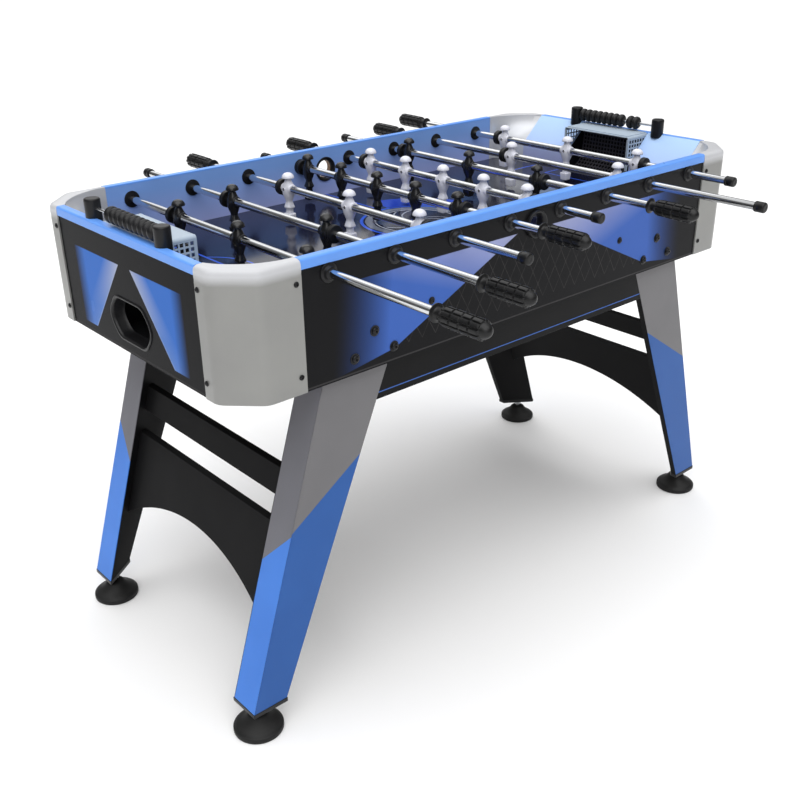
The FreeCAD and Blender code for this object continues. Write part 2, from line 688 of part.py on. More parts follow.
# ---------------------------------------------------------------- ball cups
# ball return: ring on the panel, tunnel through it and a tray under the goal
b = new_body("Return")
t = 2.5
s = sketch(b, "Return_ring", "YZ_Plane", [hexagon(4.0), hexagon(-t)], offset=par("end_out"))
pad(b, s, 2, "Return_ring_pad")
s = sketch(b, "Return_tunnel", "YZ_Plane", [hexagon(-0.1), hexagon(-t)], offset=end_in)
pad(b, s, par("board"), "Return_tunnel_pad")
tw = gh - 3
s = sketch(b, "Return_tray", "XY_Plane", [[
    (par("goal_front") - 4, -tw), (end_in, -tw), (end_in, tw), (par("goal_front") - 4, tw)]], offset=par("cup_z") - par("cup_rise") - 1)
pad(b, s, under - par("cup_z") + par("cup_rise") + 1, "Return_tray_pad")
s = sketch(b, "Return_hollow", "XY_Plane", [[
    (par("goal_front") - 1.5, -tw + t), (end_in - t, -tw + t), (end_in - t, tw - t), (par("goal_front") - 1.5, tw - t)]],
    offset=par("cup_z") - par("cup_rise") + t)
pocket(b, s, 200, "Return_hollow_cut", reverse=True)
s = sketch(b, "Return_mouth", "YZ_Plane", [hexagon(-t)], offset=end_in - 10)
pocket(b, s, 10, "Return_mouth_cut", reverse=True)
ret = b
# ball entry: ring outside, tube through the board, ring inside
b = new_body("Entry")
er, eh, ez = par("entry_ring"), par("entry_rad"), par("entry_z")
s = sketch(b, "Entry_tube", "XZ_Plane", circles=[(Size(0), ez, eh - 0.1), (Size(0), ez, eh - 2.6)], offset=-par("side_out"))
pad(b, s, par("board"), "Entry_tube_pad")
s = sketch(b, "Entry_in", "XZ_Plane", circles=[(Size(0), ez, er), (Size(0), ez, eh - 2.6)], offset=-inner)
pad(b, s, 2.5, "Entry_in_pad")
s = sketch(b, "Entry_out", "XZ_Plane", circles=[(Size(0), ez, er - 2), (Size(0), ez, eh - 2.6)], offset=-par("side_out") - 7)
pad(b, s, 7, "Entry_out_pad")
node(compound("BallCups", [ret, mirror("Return_l", ret, AX), b, mirror("Entry_f", b, AY)]), "ball_cups")

# ---------------------------------------------------------------- bearings
# one bearing is turned in a body lying along Y, then set into each hole
b = new_body("Bearing")
br, bf, bl = par("bear_bore"), par("bear_flange"), par("bear_lip")
so = par("side_out")
s = sketch(b, "Bearing_profile", "XY_Plane", [[
    (br, inner - bl), (bf, inner - bl), (bf, inner), (par("bear_hole"), inner), (par("bear_hole"), so),
    (bf, so), (bf, so + bl), (par("bear_hub"), so + bl), (par("bear_hub"), so + par("bear_nose")), (br, so + par("bear_nose"))]])
revolution(b, s, "Bearing_turned")
doc.recompute()
pieces = []
for x in ROD_X:
    one = b.Shape.copy()
    one.translate(Vector(x.v, 0, num("rod_z")))
    pieces.append(one)
    pieces.append(one.mirror(Vector(0, 0, 0), AY))
node(plain("Bearings", Part.makeCompound(pieces)), "rod_bearings")

# ---------------------------------------------------------------- scorers
post_cyl = Part.makeCylinder(num("post_rad"), num("post_top") - num("post_low"), Vector(num("post_x"), num("post_y"), num("post_low")), AZ)
post_cyl = post_cyl.makeChamfer(1.2, [e for e in post_cyl.Edges if abs(e.BoundBox.ZMin - num("post_top")) < 1e-6 and len(e.Vertexes) == 1])
ei, eo = num("end_out") - num("board"), num("end_out") + num("trim_proud")
seat = Part.Face(Part.makePolygon([
    Vector(rf, -300, 800), Vector(rf, -300, knee), Vector(ei, -300, num("ramp_top")), Vector(ei, -300, num("rail_top")),
    Vector(eo + 40, -300, num("rail_top")), Vector(eo + 40, -300, 800), Vector(rf, -300, 800)])).extrude(Vector(0, 600, 0))
post = post_cyl.cut(seat)
socket = Part.makeCylinder(num("wire_rad"), 30, Vector(num("post_x"), num("post_y") - 25, num("wire_z")), AY)
post = post.cut(socket.common(Part.makeBox(60, 17, 60, Vector(num("post_x") - 30, num("post_y") - 17, num("wire_z") - 30))))
wire = Part.makeCylinder(num("wire_rad"), 2 * num("post_y"), Vector(num("post_x"), -num("post_y"), num("wire_z")), AY)
post2 = post.mirror(Vector(0, 0, 0), AY)
wire = wire.cut(post).cut(post2)
wire = max(wire.Solids, key=lambda q: q.Volume)
stand = [post, post2, wire]
stand += [q.mirror(Vector(0, 0, 0), AX) for q in stand]
node(plain("ScorerStands", Part.makeCompound(stand)), "scorer_stands")

b = new_body("Bead")
bl2 = par("bead_len")
s = sketch(b, "Bead_profile", "XY_Plane", [[
    (par("wire_rad") + 0.05, 0), (8.5, 0), (par("bead_rad") - 1.5, 0.5 * bl2 - 3.2), (par("bead_rad"), 0.5 * bl2 - 1.4),
    (par("bead_rad"), 0.5 * bl2 + 1.4), (par("bead_rad") - 1.5, 0.5 * bl2 + 3.2), (8.5, bl2 - 0.1), (par("wire_rad") + 0.05, bl2 - 0.1)]])
revolution(b, s, "Bead_turned")
doc.recompute()


def beads(name, label, sx, y_start, count):
    row = []
    for i in range(count):
        one = b.Shape.copy()
        one.translate(Vector(sx * num("post_x"), y_start + i * num("bead_len"), num("wire_z")))
        row.append(one)
    node(plain(name, Part.makeCompound(row)), label)


clear = num("post_y") - num("post_rad")
beads("BeadsLeft", "scorer_beads_left", -1, -clear + 0.4, 10)
beads("BeadsEight", "scorer_beads_right_eight", 1, clear - 8 * num("bead_len") - 0.3, 8)
beads("BeadsPair", "scorer_beads_right_pair", 1, -clear + 40.0, 2)

# ---------------------------------------------------------------- fasteners
b = new_body("Bolt")
s = sketch(b, "Bolt_profile", "XY_Plane", [[
    (0, -36), (par("bolt_rad"), -36), (par("bolt_rad"), 0), (10, 0), (10, 1.6), (7.5, 1.8), (6.2, 4.2), (3.5, 5.6), (0, 6)]])
revolution(b, s, "Bolt_turned")
c = new_body("Screw")
s = sketch(c, "Screw_profile", "XY_Plane", [[
    (0, -14), (par("screw_rad"), -14), (par("screw_rad"), 0), (4.6, 0), (4.2, 1.4), (2.6, 2.5), (0, 3)]])
revolution(c, s, "Screw_turned")
doc.recompute()
fast = []
for sx in (-1, 1):
    for x, z in LEG_BOLTS + [CLEAT_BOLT]:
        one = b.Shape.copy()
        one.translate(Vector(sx * x, num("side_out"), z))
        fast += [one, one.mirror(Vector(0, 0, 0), AY)]
    for x, z in CAP_SIDE:
        one = c.Shape.copy()
        one.translate(Vector(sx * x, num("side_out") + num("cap_proud"), z))
        fast += [one, one.mirror(Vector(0, 0, 0), AY)]
for y, z in CAP_END:
    one = c.Shape.copy()
    one.rotate(Vector(0, 0, 0), AZ, -90)
    one.translate(Vector(num("end_out") + num("cap_proud"), y, z))
    fast += [one, one.mirror(Vector(0, 0, 0), AY)]
    two = one.mirror(Vector(0, 0, 0), AX)
    fast += [two, two.mirror(Vector(0, 0, 0), AY)]
node(plain("Fasteners", Part.makeCompound(fast)), "bolts_and_screws")


# ---------------------------------------------------------------- players
# the figure stands on the rod's axis, its front along +X
def figure():
    front = new_body("FigureFront")
    half = [(11, -71), (11, -54), (7.8, -53), (7.8, -42), (10, -41), (10, -38), (7.6, -27), (13, -9), (13, 3), (7.6, 15), (7.0, 21.5)]
    poly = half + [(-x, z) for x, z in reversed(half)]
    s = sketch(front, "FigureFront_line", "YZ_Plane", [poly], offset=-20)
    pad(front, s, 40, "FigureFront_pad")
    side = new_body("FigureSide")
    half = [(9.5, -71), (10, -57), (7.4, -53), (7.4, -42), (9.5, -41), (9.5, -38), (7.0, -27), (12.5, -8), (12.5, 4), (7.0, 15), (6.6, 21.5)]
    poly = half + [(-x, z) for x, z in reversed(half)]
    s = sketch(side, "FigureSide_line", "XZ_Plane", [poly], offset=-20)
    pad(side, s, 40, "FigureSide_pad")
    common = doc.addObject("Part::Common", "FigureBlank")
    common.Base = front
    common.Tool = side
    head = new_body("FigureHead")
    s = sketch(head, "FigureHead_line", "XZ_Plane", [[
        (0, 21), (9, 21), (13.2, 21.8), (13.6, 23.4), (12.2, 28.6), (8.2, 32.4), (0, 34)]])
    revolution(head, s, "FigureHead_turned")
    mb = par("man_boss")
    boss = cyl_y("FigureBoss", 0, -mb, mb, 0, 10.8)
    body = fuse("FigureSolid", [common, head, boss])
    bore = cyl_y("FigureBore", 0, -40, 40, 0, par("rod_rad"))
    out = cut("FigureBored", body, bore)
    doc.recompute()
    shape = out.Shape
    hole = Part.makeCylinder(2.0, 40, Vector(0, 0, 0), AX)
    return shape.cut(hole)


man = figure()
man = max(man.Solids, key=lambda q: q.Volume)
screw = Part.makeCylinder(2.0, 5.0, Vector(8.2, 0, 0), AX).fuse(
    Part.makeCone(3.4, 2.6, 1.4, Vector(12.5, 0, 0), AX)).removeSplitter()


# ---------------------------------------------------------------- rods
def travel(count):
    """Half of a rod's travel: until the outer bumper meets the bearing."""
    spacing = {5: par("men_five"), 3: par("men_three"), 2: par("men_two")}[count]
    outermost = 0.5 * (count - 1) * spacing
    return inner - par("bear_lip") - par("man_boss") - par("fit_gap") - par("bump_len") - outermost, spacing, outermost


for i in range(8):
    n = i + 1
    count = TEAM[i]
    go, spacing, outermost = travel(count)
    x = ROD_X[i]
    shift = par(SHIFT[i])
    sgn = -1.0 if NEAR_GRIP[i] else 1.0          # side of the grip
    tip = par("cap_tip_in") + go                  # tip of the end cap
    grip = par("grip_in") + go                    # inner end of the grip
    if n == 1:
        grip = grip + par("grip_out_1")
    if n == 3:
        tip = tip + par("tip_out_3")
    if n == 5:
        tip = tip + par("tip_out_5")
    g_end = grip + par("grip_len")
    # tube from 3 mm inside the end cap's tip to 12 mm inside the grip's end
    lo, hi = (-(g_end - 12), tip - 3) if sgn < 0 else (-(tip - 3), g_end - 12)
    tube = cut("Rod%d_tube" % n, cyl_y("Rod%d_out" % n, x, lo, hi, par("rod_z"), par("rod_rad")),
               cyl_y("Rod%d_in" % n, x, lo - 1, hi + 1, par("rod_z"), par("rod_bore")))
    node(tube, "rod_%d_bar" % n, shift)
    # players, all facing the other team's goal
    face = 1.0 if NEAR_GRIP[i] else -1.0
    row = []
    for k in range(count):
        y = (k - 0.5 * (count - 1)) * spacing.v
        for q in (man, screw):
            one = q.copy()
            if face < 0:
                one.rotate(Vector(0, 0, 0), AZ, 180)
            one.translate(Vector(x.v, y, num("rod_z")))
            row.append(one)
    node(plain("Rod%d_players" % n, Part.makeCompound(row)), "rod_%d_players" % n, shift)
    # grip: flange, neck, body and rounded end, turned about the rod's axis
    gb = new_body("Rod%d_grip" % n)
    rr = par("rod_rad")
    L0 = par("grip_len")
    s = sketch(gb, "Rod%d_grip_line" % n, "XY_Plane", [[
        (rr, 0), (15, 0), (15, 3), (9.6, 5), (9.6, 13), (12.4, 18), (13.5, 24), (13.5, L0 - 22), (12.2, L0 - 8),
        (9.0, L0 - 2), (5, L0), (0, L0), (0, L0 - 12), (rr, L0 - 12)]])
    revolution(gb, s, "Rod%d_grip_turned" % n)
    tb = new_body("Rod%d_tip" % n)
    tr, tl = par("tip_rad"), par("tip_len")
    s = sketch(tb, "Rod%d_tip_line" % n, "XY_Plane", [[
        (rr, 0), (tr - 0.6, 0), (tr, 0.8), (tr, tl - 2), (tr - 2, tl), (0, tl), (0, tl - 3), (rr, tl - 3)]])
    revolution(tb, s, "Rod%d_tip_turned" % n)
    for bod, sg, y in ((gb, sgn, grip), (tb, -sgn, tip - tl)):
        rot = Rotation() if sg > 0 else Rotation(AZ, 180)
        yy = sg * y
        bod.Placement = Placement(Vector(x.v, yy.v, num("rod_z")), rot)
        bod.setExpression(".Placement.Base.x", x.s)
        bod.setExpression(".Placement.Base.y", yy.s)
        bod.setExpression(".Placement.Base.z", "Sizes.rod_z")
    node(compound("Rod%d_ends" % n, [gb, tb]), "rod_%d_grip_and_cap" % n, shift)
    # bumpers outside the outermost players
    ring = []
    for sy in (-1, 1):
        y0 = outermost + par("man_boss") + par("fit_gap")
        a, c2 = (y0, y0 + par("bump_len")) if sy > 0 else (-(y0 + par("bump_len")), -y0)
        ring.append(cut("Rod%d_bump%d" % (n, sy), cyl_y("Rod%d_bo%d" % (n, sy), x, a, c2, par("rod_z"), par("bump_rad")),
                        cyl_y("Rod%d_bi%d" % (n, sy), x, a - 1, c2 + 1, par("rod_z"), par("bear_bore"))))
    node(compound("Rod%d_bumpers" % n, ring), "rod_%d_bumpers" % n, shift)

doc.recompute()

# ---------------------------------------------------------------- write
bad = []
for obj in doc.Objects:
    if "Invalid" in obj.State or "Error" in obj.State:
        bad.append(obj.Name + " " + ",".join(obj.State))
for obj in nodes:
    if obj.Shape.isNull() or not obj.Shape.isValid() or not obj.Shape.Solids:
        bad.append(obj.Label + " has no valid solid")
labels = [obj.Label for obj in nodes]
if len(set(labels)) != len(labels):
    bad.append("two pieces share a name")
if bad:
    raise RuntimeError("model has faults: " + "; ".join(bad))
os.makedirs("parts", exist_ok=True)
for obj in nodes:
    obj.Shape.exportStep(os.path.join("parts", obj.Label + ".step"))
print("wrote", len(nodes), "pieces")
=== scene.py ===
import bpy
import bmesh
import math
from math import cos, sin, pi, radians, hypot
from mathutils import Matrix, Vector


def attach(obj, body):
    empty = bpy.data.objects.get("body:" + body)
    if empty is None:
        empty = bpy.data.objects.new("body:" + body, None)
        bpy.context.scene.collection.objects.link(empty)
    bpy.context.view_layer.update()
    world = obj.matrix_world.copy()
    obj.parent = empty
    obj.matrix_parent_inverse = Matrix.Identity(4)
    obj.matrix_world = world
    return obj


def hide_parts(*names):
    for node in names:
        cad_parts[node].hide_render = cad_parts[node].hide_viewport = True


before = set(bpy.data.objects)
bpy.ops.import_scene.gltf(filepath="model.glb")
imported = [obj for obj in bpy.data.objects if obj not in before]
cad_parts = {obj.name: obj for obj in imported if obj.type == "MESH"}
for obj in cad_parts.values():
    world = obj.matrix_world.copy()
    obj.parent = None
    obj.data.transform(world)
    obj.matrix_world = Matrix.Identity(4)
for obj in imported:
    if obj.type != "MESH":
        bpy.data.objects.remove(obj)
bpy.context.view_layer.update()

# Lengths below are millimetres with Y measured from the middle of the cabinet.
YC = 34.0
ROD_X = [(i - 3.5) * 144.3 for i in range(8)]
ROD_Z = 892.6
SHIFT = [-76.0, 7.5, -37.0, 47.4, -5.5, 58.5, -98.5, 8.0]
TEAM = [3, 2, 3, 5, 5, 3, 2, 3]
NEAR = [True, True, False, True, False, True, False, False]
SPACING = {5: 123.0, 3: 208.0, 2: 314.0}


# ================================================================ materials
class S(object):
    """A value in a shader graph with arithmetic."""

    def __init__(self, g, k):
        self.g, self.k = g, k

    def _m(self, op, *a, clamp=False):
        n = self.g.t.nodes.new("ShaderNodeMath")
        n.operation = op
        n.use_clamp = clamp
        for i, q in enumerate((self,) + a):
            if isinstance(q, S):
                self.g.t.links.new(q.k, n.inputs[i])
            else:
                n.inputs[i].default_value = float(q)
        return S(self.g, n.outputs[0])

    def __add__(self, o): return self._m("ADD", o)
    def __sub__(self, o): return self._m("SUBTRACT", o)
    def __mul__(self, o): return self._m("MULTIPLY", o)
    def __truediv__(self, o): return self._m("DIVIDE", o)
    __radd__ = __add__
    __rmul__ = __mul__
    def __rsub__(self, o): return self * -1.0 + o
    def abs(self): return self._m("ABSOLUTE")
    def gt(self, o): return self._m("GREATER_THAN", o)
    def lt(self, o): return self._m("LESS_THAN", o)
    def min(self, o): return self._m("MINIMUM", o)
    def max(self, o): return self._m("MAXIMUM", o)
    def sqrt(self): return self._m("SQRT")
    def pow(self, o): return self._m("POWER", o)
    def pp(self, o): return self._m("PINGPONG", o)
    def sin(self): return self._m("SINE")
    def atan2(self, o): return self._m("ARCTAN2", o)

    def ramp(self, a, b, lo=0.0, hi=1.0):
        """Straight ramp from lo at a to hi at b, clamped."""
        n = self.g.t.nodes.new("ShaderNodeMapRange")
        n.clamp = True
        self.g.t.links.new(self.k, n.inputs[0])
        for i, q in enumerate((a, b, lo, hi)):
            n.inputs[i + 1].default_value = q
        return S(self.g, n.outputs[0])

    def band(self, a, b, soft=0.4):
        """1 between a and b with soft edges."""
        return self.ramp(a - soft, a + soft) * self.ramp(b - soft, b + soft, 1.0, 0.0)


class G(object):
    """A procedural material round one Principled shader."""

    def __init__(self, name, rough=0.4, metal=0.0, coat=0.0, coat_rough=0.05, spec=0.5):
        self.m = bpy.data.materials.new(name)
        self.m.use_nodes = True
        self.t = self.m.node_tree
        self.t.nodes.clear()
        out = self.t.nodes.new("ShaderNodeOutputMaterial")
        self.b = self.t.nodes.new("ShaderNodeBsdfPrincipled")
        self.t.links.new(self.b.outputs[0], out.inputs[0])
        self.set("Roughness", rough)
        self.set("Metallic", metal)
        self.set("Coat Weight", coat)
        self.set("Coat Roughness", coat_rough)
        self.set("Specular IOR Level", spec)
        self.tc = self.t.nodes.new("ShaderNodeTexCoord")
        self.obj = self.tc.outputs["Object"]
        self._xyz = None

    def set(self, key, v):
        if isinstance(v, S):
            self.t.links.new(v.k, self.b.inputs[key])
        elif isinstance(v, (tuple, list)):
            self.b.inputs[key].default_value = (v[0], v[1], v[2], 1.0)
        else:
            self.b.inputs[key].default_value = v

    def xyz(self):
        """Object position in millimetres from the middle of the cabinet."""
        if self._xyz is None:
            n = self.t.nodes.new("ShaderNodeSeparateXYZ")
            self.t.links.new(self.obj, n.inputs[0])
            x, y, z = [S(self, n.outputs[i]) * 1000.0 for i in range(3)]
            self._xyz = (x, y - YC, z)
        return self._xyz

    def noise(self, scale, detail=3.0, rough=0.55, stretch=None):
        n = self.t.nodes.new("ShaderNodeTexNoise")
        n.inputs["Scale"].default_value = scale
        n.inputs["Detail"].default_value = detail
        n.inputs["Roughness"].default_value = rough
        src = self.obj
        if stretch:
            mp = self.t.nodes.new("ShaderNodeMapping")
            mp.inputs["Scale"].default_value = stretch
            self.t.links.new(self.obj, mp.inputs[0])
            src = mp.outputs[0]
        self.t.links.new(src, n.inputs["Vector"])
        return S(self, n.outputs[0])

    def mix(self, fac, a, b):
        n = self.t.nodes.new("ShaderNodeMix")
        n.data_type = "RGBA"
        if isinstance(fac, S):
            self.t.links.new(fac.k, n.inputs[0])
        else:
            n.inputs[0].default_value = fac
        for i, q in ((6, a), (7, b)):
            if isinstance(q, S):
                self.t.links.new(q.k, n.inputs[i])
            else:
                n.inputs[i].default_value = (q[0], q[1], q[2], 1.0)
        return S(self, n.outputs[2])

    def bump(self, height, strength=0.2, dist=0.0005):
        n = self.t.nodes.new("ShaderNodeBump")
        n.inputs["Strength"].default_value = strength
        n.inputs["Distance"].default_value = dist
        self.t.links.new(height.k, n.inputs["Height"])
        self.t.links.new(n.outputs[0], self.b.inputs["Normal"])


def srgb(r, g, b):
    """8-bit screen colour to linear."""
    out = []
    for c in (r, g, b):
        c = c / 255.0
        out.append(c / 12.92 if c <= 0.04045 else ((c + 0.055) / 1.055) ** 2.4)
    return tuple(out)


def simple(name, col, rough=0.4, metal=0.0, coat=0.0, grain=900.0, bump=0.08, vary=0.12, spec=0.5, coat_rough=0.05):
    """Moulded or painted surface: fine grain, uneven sheen and slight colour drift."""
    g = G(name, rough, metal, coat, coat_rough, spec)
    big = g.noise(9.0, 4.0)
    fine = g.noise(grain, 2.0)
    dark = tuple(c * (1.0 - vary) for c in col)
    light = tuple(min(1.0, c * (1.0 + vary)) for c in col)
    g.set("Base Color", g.mix(big.ramp(0.3, 0.7), dark, light))
    g.set("Roughness", big.ramp(0.3, 0.7, rough * 0.88, min(1.0, rough * 1.12)))
    g.bump(fine + big * 0.6, bump, 0.0003)
    return g.m


BLACK = (0.0085, 0.0085, 0.0095)
M = {}
M["black_plastic"] = simple("black_plastic", (0.008, 0.008, 0.009), 0.36, vary=0.2, spec=0.28)
M["black_matte"] = simple("black_matte", (0.011, 0.011, 0.011), 0.55, vary=0.2, bump=0.15, spec=0.25)
M["rubber"] = simple("black_rubber", (0.007, 0.007, 0.0075), 0.38, vary=0.2, bump=0.08, spec=0.3)
M["screw"] = simple("black_screw", (0.009, 0.009, 0.010), 0.28, 0.2, vary=0.15, spec=0.3)
M["white_player"] = simple("white_player", srgb(226, 227, 236), 0.3, coat=0.15, vary=0.02, bump=0.02)
M["black_player"] = simple("black_player", (0.009, 0.009, 0.010), 0.26, coat=0.15, vary=0.15, bump=0.04, spec=0.35)
M["goal"] = simple("goal_grey", srgb(166, 180, 194), 0.42, vary=0.03, bump=0.05, spec=0.35)
M["mesh"] = simple("goal_mesh_dark", srgb(66, 64, 70), 0.45, vary=0.12, bump=0.08, spec=0.3)
# Black sheets inside the goal cages: painted shade of the dark cavity where the balls drop.
M["painted_shade"] = simple("goal_painted_shade_black", (0.006, 0.006, 0.008), 0.6, vary=0.2, bump=0.08, spec=0.15)
M["chrome"] = simple("chrome", (0.66, 0.67, 0.68), 0.12, 1.0, vary=0.03, bump=0.01, grain=300.0)
M["steel"] = simple("bright_steel", (0.62, 0.63, 0.65), 0.2, 1.0, vary=0.05, bump=0.03)
M["zinc"] = simple("zinc_stud", (0.32, 0.33, 0.34), 0.35, 1.0, vary=0.15, bump=0.1)
M["raw_board"] = simple("raw_board", srgb(120, 92, 64), 0.75, vary=0.25, bump=0.4)
M["tunnel"] = simple("tunnel_tan", srgb(150, 120, 95), 0.7, vary=0.15, bump=0.2)
M["brace"] = simple("brace_black", srgb(23, 23, 24), 0.5, vary=0.12, bump=0.12, grain=500.0, spec=0.07)
M["trim"] = simple("trim_blue", srgb(104, 158, 240), 0.3, vary=0.02, bump=0.02, spec=0.3)
M["lip"] = simple("cap_lip", srgb(214, 214, 216), 0.3, coat=0.15, vary=0.02, bump=0.03)


def cap_material():
    """Satin silver skin, going white at the rolled lip."""
    g = G("cap_silver", 0.3, 0.2, spec=0.35)
    x, y, z = g.xyz()
    big = g.noise(7.0, 3.0)
    body = g.mix(big.ramp(0.3, 0.7), srgb(138, 138, 136), srgb(146, 146, 143))
    inner = x.abs().lt(684.0) * y.abs().lt(324.2) * (x.abs() * 0.70 + y.abs() * 0.711).lt(668.0) * z.lt(924.0)
    body = g.mix(inner, body, srgb(206, 208, 212))
    g.set("Base Color", g.mix(z.ramp(899.0, 915.0), body, srgb(196, 197, 200)))
    g.set("Metallic", z.ramp(899.0, 915.0, 0.3, 0.0))
    g.bump(g.noise(1200.0, 2.0) + big, 0.05, 0.0002)
    return g.m


M["cap"] = cap_material()


def inner_blue(g, z):
    """Blue of the inner walls: bright at the top and lavender lower down."""
    return g.mix(z.ramp(815.0, 905.0), srgb(164, 176, 230), srgb(128, 168, 234))


def side_panel_material():
    g = G("side_panel_print", 0.24, 0.0, spec=0.07)
    x, y, z = g.xyz()
    a = x.abs()
    outside = y.abs().gt(336.0)
    inside = y.abs().lt(325.0)
    # blue print: slanted inner edge, slanted lower edge, fading outwards
    edge = (a - (866.0 - z) * 2.14 - 51.0) * 0.42
    low = z - 722.0 + (a - 350.0) * 0.15
    top = 866.0 - z
    poly = edge.min(low).min(top).ramp(-0.5, 0.5)
    fade = (a + (z - 790.0) * 0.1).ramp(372.0, 500.0, 1.0, 0.0)
    fade = fade * fade
    tip = (a * 0.35 + (866.0 - z)).ramp(30.0, 150.0)
    blue = g.mix(tip, srgb(158, 164, 202), srgb(66, 102, 182))
    # fine diamond lattice between the blue shapes
    zz = z - 722.0
    l1 = (x * 1.727 + zz).pp(28.5)
    l2 = (x * 1.727 - zz).pp(28.5)
    worn = g.noise(90.0, 3.0).ramp(0.35, 0.6, 0.35, 1.0)
    lattice = l1.min(l2).ramp(0.7, 1.9, 1.0, 0.0) * a.ramp(470.0, 430.0, 0.0, 1.0) * z.ramp(872.0, 838.0, 0.0, 1.0) * z.gt(722.0) * worn
    base = g.mix(lattice * (poly * -0.9 + 1.0) * 0.8, BLACK, srgb(62, 60, 60))
    print_ = g.mix(poly * fade, base, blue)
    grey = z.band(697.5, 700.5, 0.3)
    print_ = g.mix(grey, print_, srgb(56, 55, 56))
    col = g.mix(outside, srgb(26, 26, 28), print_)
    col = g.mix(inside, col, inner_blue(g, z))
    g.set("Base Color", col)
    big = g.noise(6.0, 3.0)
    g.set("Roughness", big.ramp(0.3, 0.7, 0.2, 0.28))
    g.bump(big + g.noise(700.0, 2.0) * 0.4, 0.03, 0.0002)
    return g.m


def end_panel_material():
    g = G("end_panel_print", 0.24, 0.0, spec=0.03)
    x, y, z = g.xyz()
    a = y.abs()
    outside = x.abs().gt(694.0)
    inside = x.abs().lt(683.0)
    edge = (a - (864.0 - z) * 0.82 - 21.0) * 0.77
    low = z - 713.0
    top = 864.0 - z
    poly = edge.min(low).min(top).ramp(-0.5, 0.5)
    fade = a.ramp(158.0, 196.0, 1.0, 0.0)
    deep = edge.ramp(2.0, 44.0)
    tipw = z.ramp(760.0, 864.0)
    blue = g.mix(deep, g.mix(tipw, srgb(92, 128, 196), srgb(164, 172, 198)), srgb(58, 110, 194))
    rim = edge.band(0.3, 1.6, 0.5) * poly
    blue = g.mix(rim * 0.6, blue, srgb(176, 186, 206))
    print_ = g.mix(poly * fade, BLACK, blue)
    print_ = g.mix(z.band(697.5, 700.5, 0.3), print_, srgb(44, 43, 44))
    col = g.mix(outside, srgb(26, 26, 28), print_)
    col = g.mix(inside, col, BLACK)
    g.set("Base Color", col)
    big = g.noise(6.0, 3.0)
    g.set("Roughness", big.ramp(0.3, 0.7, 0.2, 0.28))
    g.bump(big + g.noise(700.0, 2.0) * 0.4, 0.03, 0.0002)
    return g.m


def field_material():
    g = G("field_print", 0.12, 0.0, spec=0.42)
    x, y, z = g.xyz()
    r = (x * x + y * y).sqrt()
    big = g.noise(4.0, 3.0)
    navy = g.mix(big.ramp(0.3, 0.7), srgb(16, 18, 34), srgb(24, 27, 48))
    blue = srgb(48, 88, 205)
    grey = srgb(120, 126, 140)
    col = navy
    ang = y.atan2(x)
    # centre circle: thin blue ring, wide grey ring, light ring and curved blades
    col = g.mix(r.band(118.0, 125.0), col, blue)
    col = g.mix(r.band(97.0, 114.0), col, g.mix(big.ramp(0.35, 0.65), srgb(84, 90, 104), grey))
    col = g.mix(r.band(90.0, 93.0), col, srgb(176, 182, 194))
    blade = (ang * 3.0 + r * 0.05).sin()
    inner = r.lt(84.0) * r.gt(16.0) * blade.band(0.72, 0.86, 0.03)
    col = g.mix(inner, col, srgb(150, 156, 170))
    col = g.mix(r.band(10.0, 14.0), col, blue)
    wedge = (ang * 2.0).sin().gt(0.35) * r.band(128.0, 196.0) * x.abs().gt(0.0)
    col = g.mix(wedge * 0.85, col, srgb(38, 70, 190))
    # halfway line, goal areas and arcs in front of the goals
    col = g.mix(x.abs().band(-1.0, 2.2) * r.gt(126.0), col, blue)
    a, b = x.abs(), y.abs()
    box1 = a.band(478.0, 483.0) * b.lt(190.0)
    box1 = box1.max(b.band(185.0, 190.0) * a.gt(478.0))
    box2 = (a.band(545.0, 549.0) * b.lt(112.0)).max(b.band(108.0, 112.0) * a.gt(545.0))
    rx = a - 545.0
    arc = (rx * rx + b * b).sqrt().band(108.0, 112.0) * a.lt(479.0)
    col = g.mix(box1.max(box2).max(arc), col, blue)
    col = g.mix(z.lt(814.0), col, srgb(70, 58, 46))
    g.set("Base Color", col)
    g.bump(g.noise(3.0, 2.0), 0.015, 0.0006)
    return g.m


def end_wall_material():
    g = G("end_wall_blue", 0.35, spec=0.25)
    x, y, z = g.xyz()
    big = g.noise(8.0, 3.0)
    slope = g.mix(z.ramp(862.0, 926.0), srgb(168, 192, 240), srgb(180, 212, 250))
    flat = g.mix(z.ramp(815.0, 862.0), srgb(166, 172, 216), srgb(182, 194, 234))
    g.set("Base Color", g.mix(z.ramp(861.0, 863.5), flat, slope))
    g.bump(big + g.noise(700.0, 2.0) * 0.4, 0.03, 0.0002)
    return g.m


def leg_side_material():
    g = G("leg_side", 0.42, spec=0.25)
    x, y, z = g.xyz()
    line = z - 527.0 + (x.abs() - 437.4) * 0.654
    big = g.noise(5.0, 3.0)
    silver = g.mix(big.ramp(0.3, 0.7), srgb(112, 111, 113), srgb(120, 119, 121))
    blue = g.mix(big.ramp(0.3, 0.7), srgb(38, 87, 158), srgb(43, 94, 167))
    g.set("Base Color", g.mix(line.ramp(-0.5, 0.5), blue, silver))
    g.bump(g.noise(800.0, 3.0), 0.08, 0.0003)
    return g.m


def leg_end_material():
    g = G("leg_end", 0.4, spec=0.25)
    x, y, z = g.xyz()
    line = z - 415.0 + (324.0 - y.abs()) * 1.043
    big = g.noise(5.0, 3.0)
    silver = g.mix(big.ramp(0.3, 0.7), srgb(106, 106, 112), srgb(114, 114, 121))
    blue = g.mix(big.ramp(0.3, 0.7), srgb(62, 122, 212), srgb(69, 131, 223))
    g.set("Base Color", g.mix(line.ramp(-0.5, 0.5), blue, silver))
    g.bump(g.noise(800.0, 3.0), 0.08, 0.0003)
    return g.m


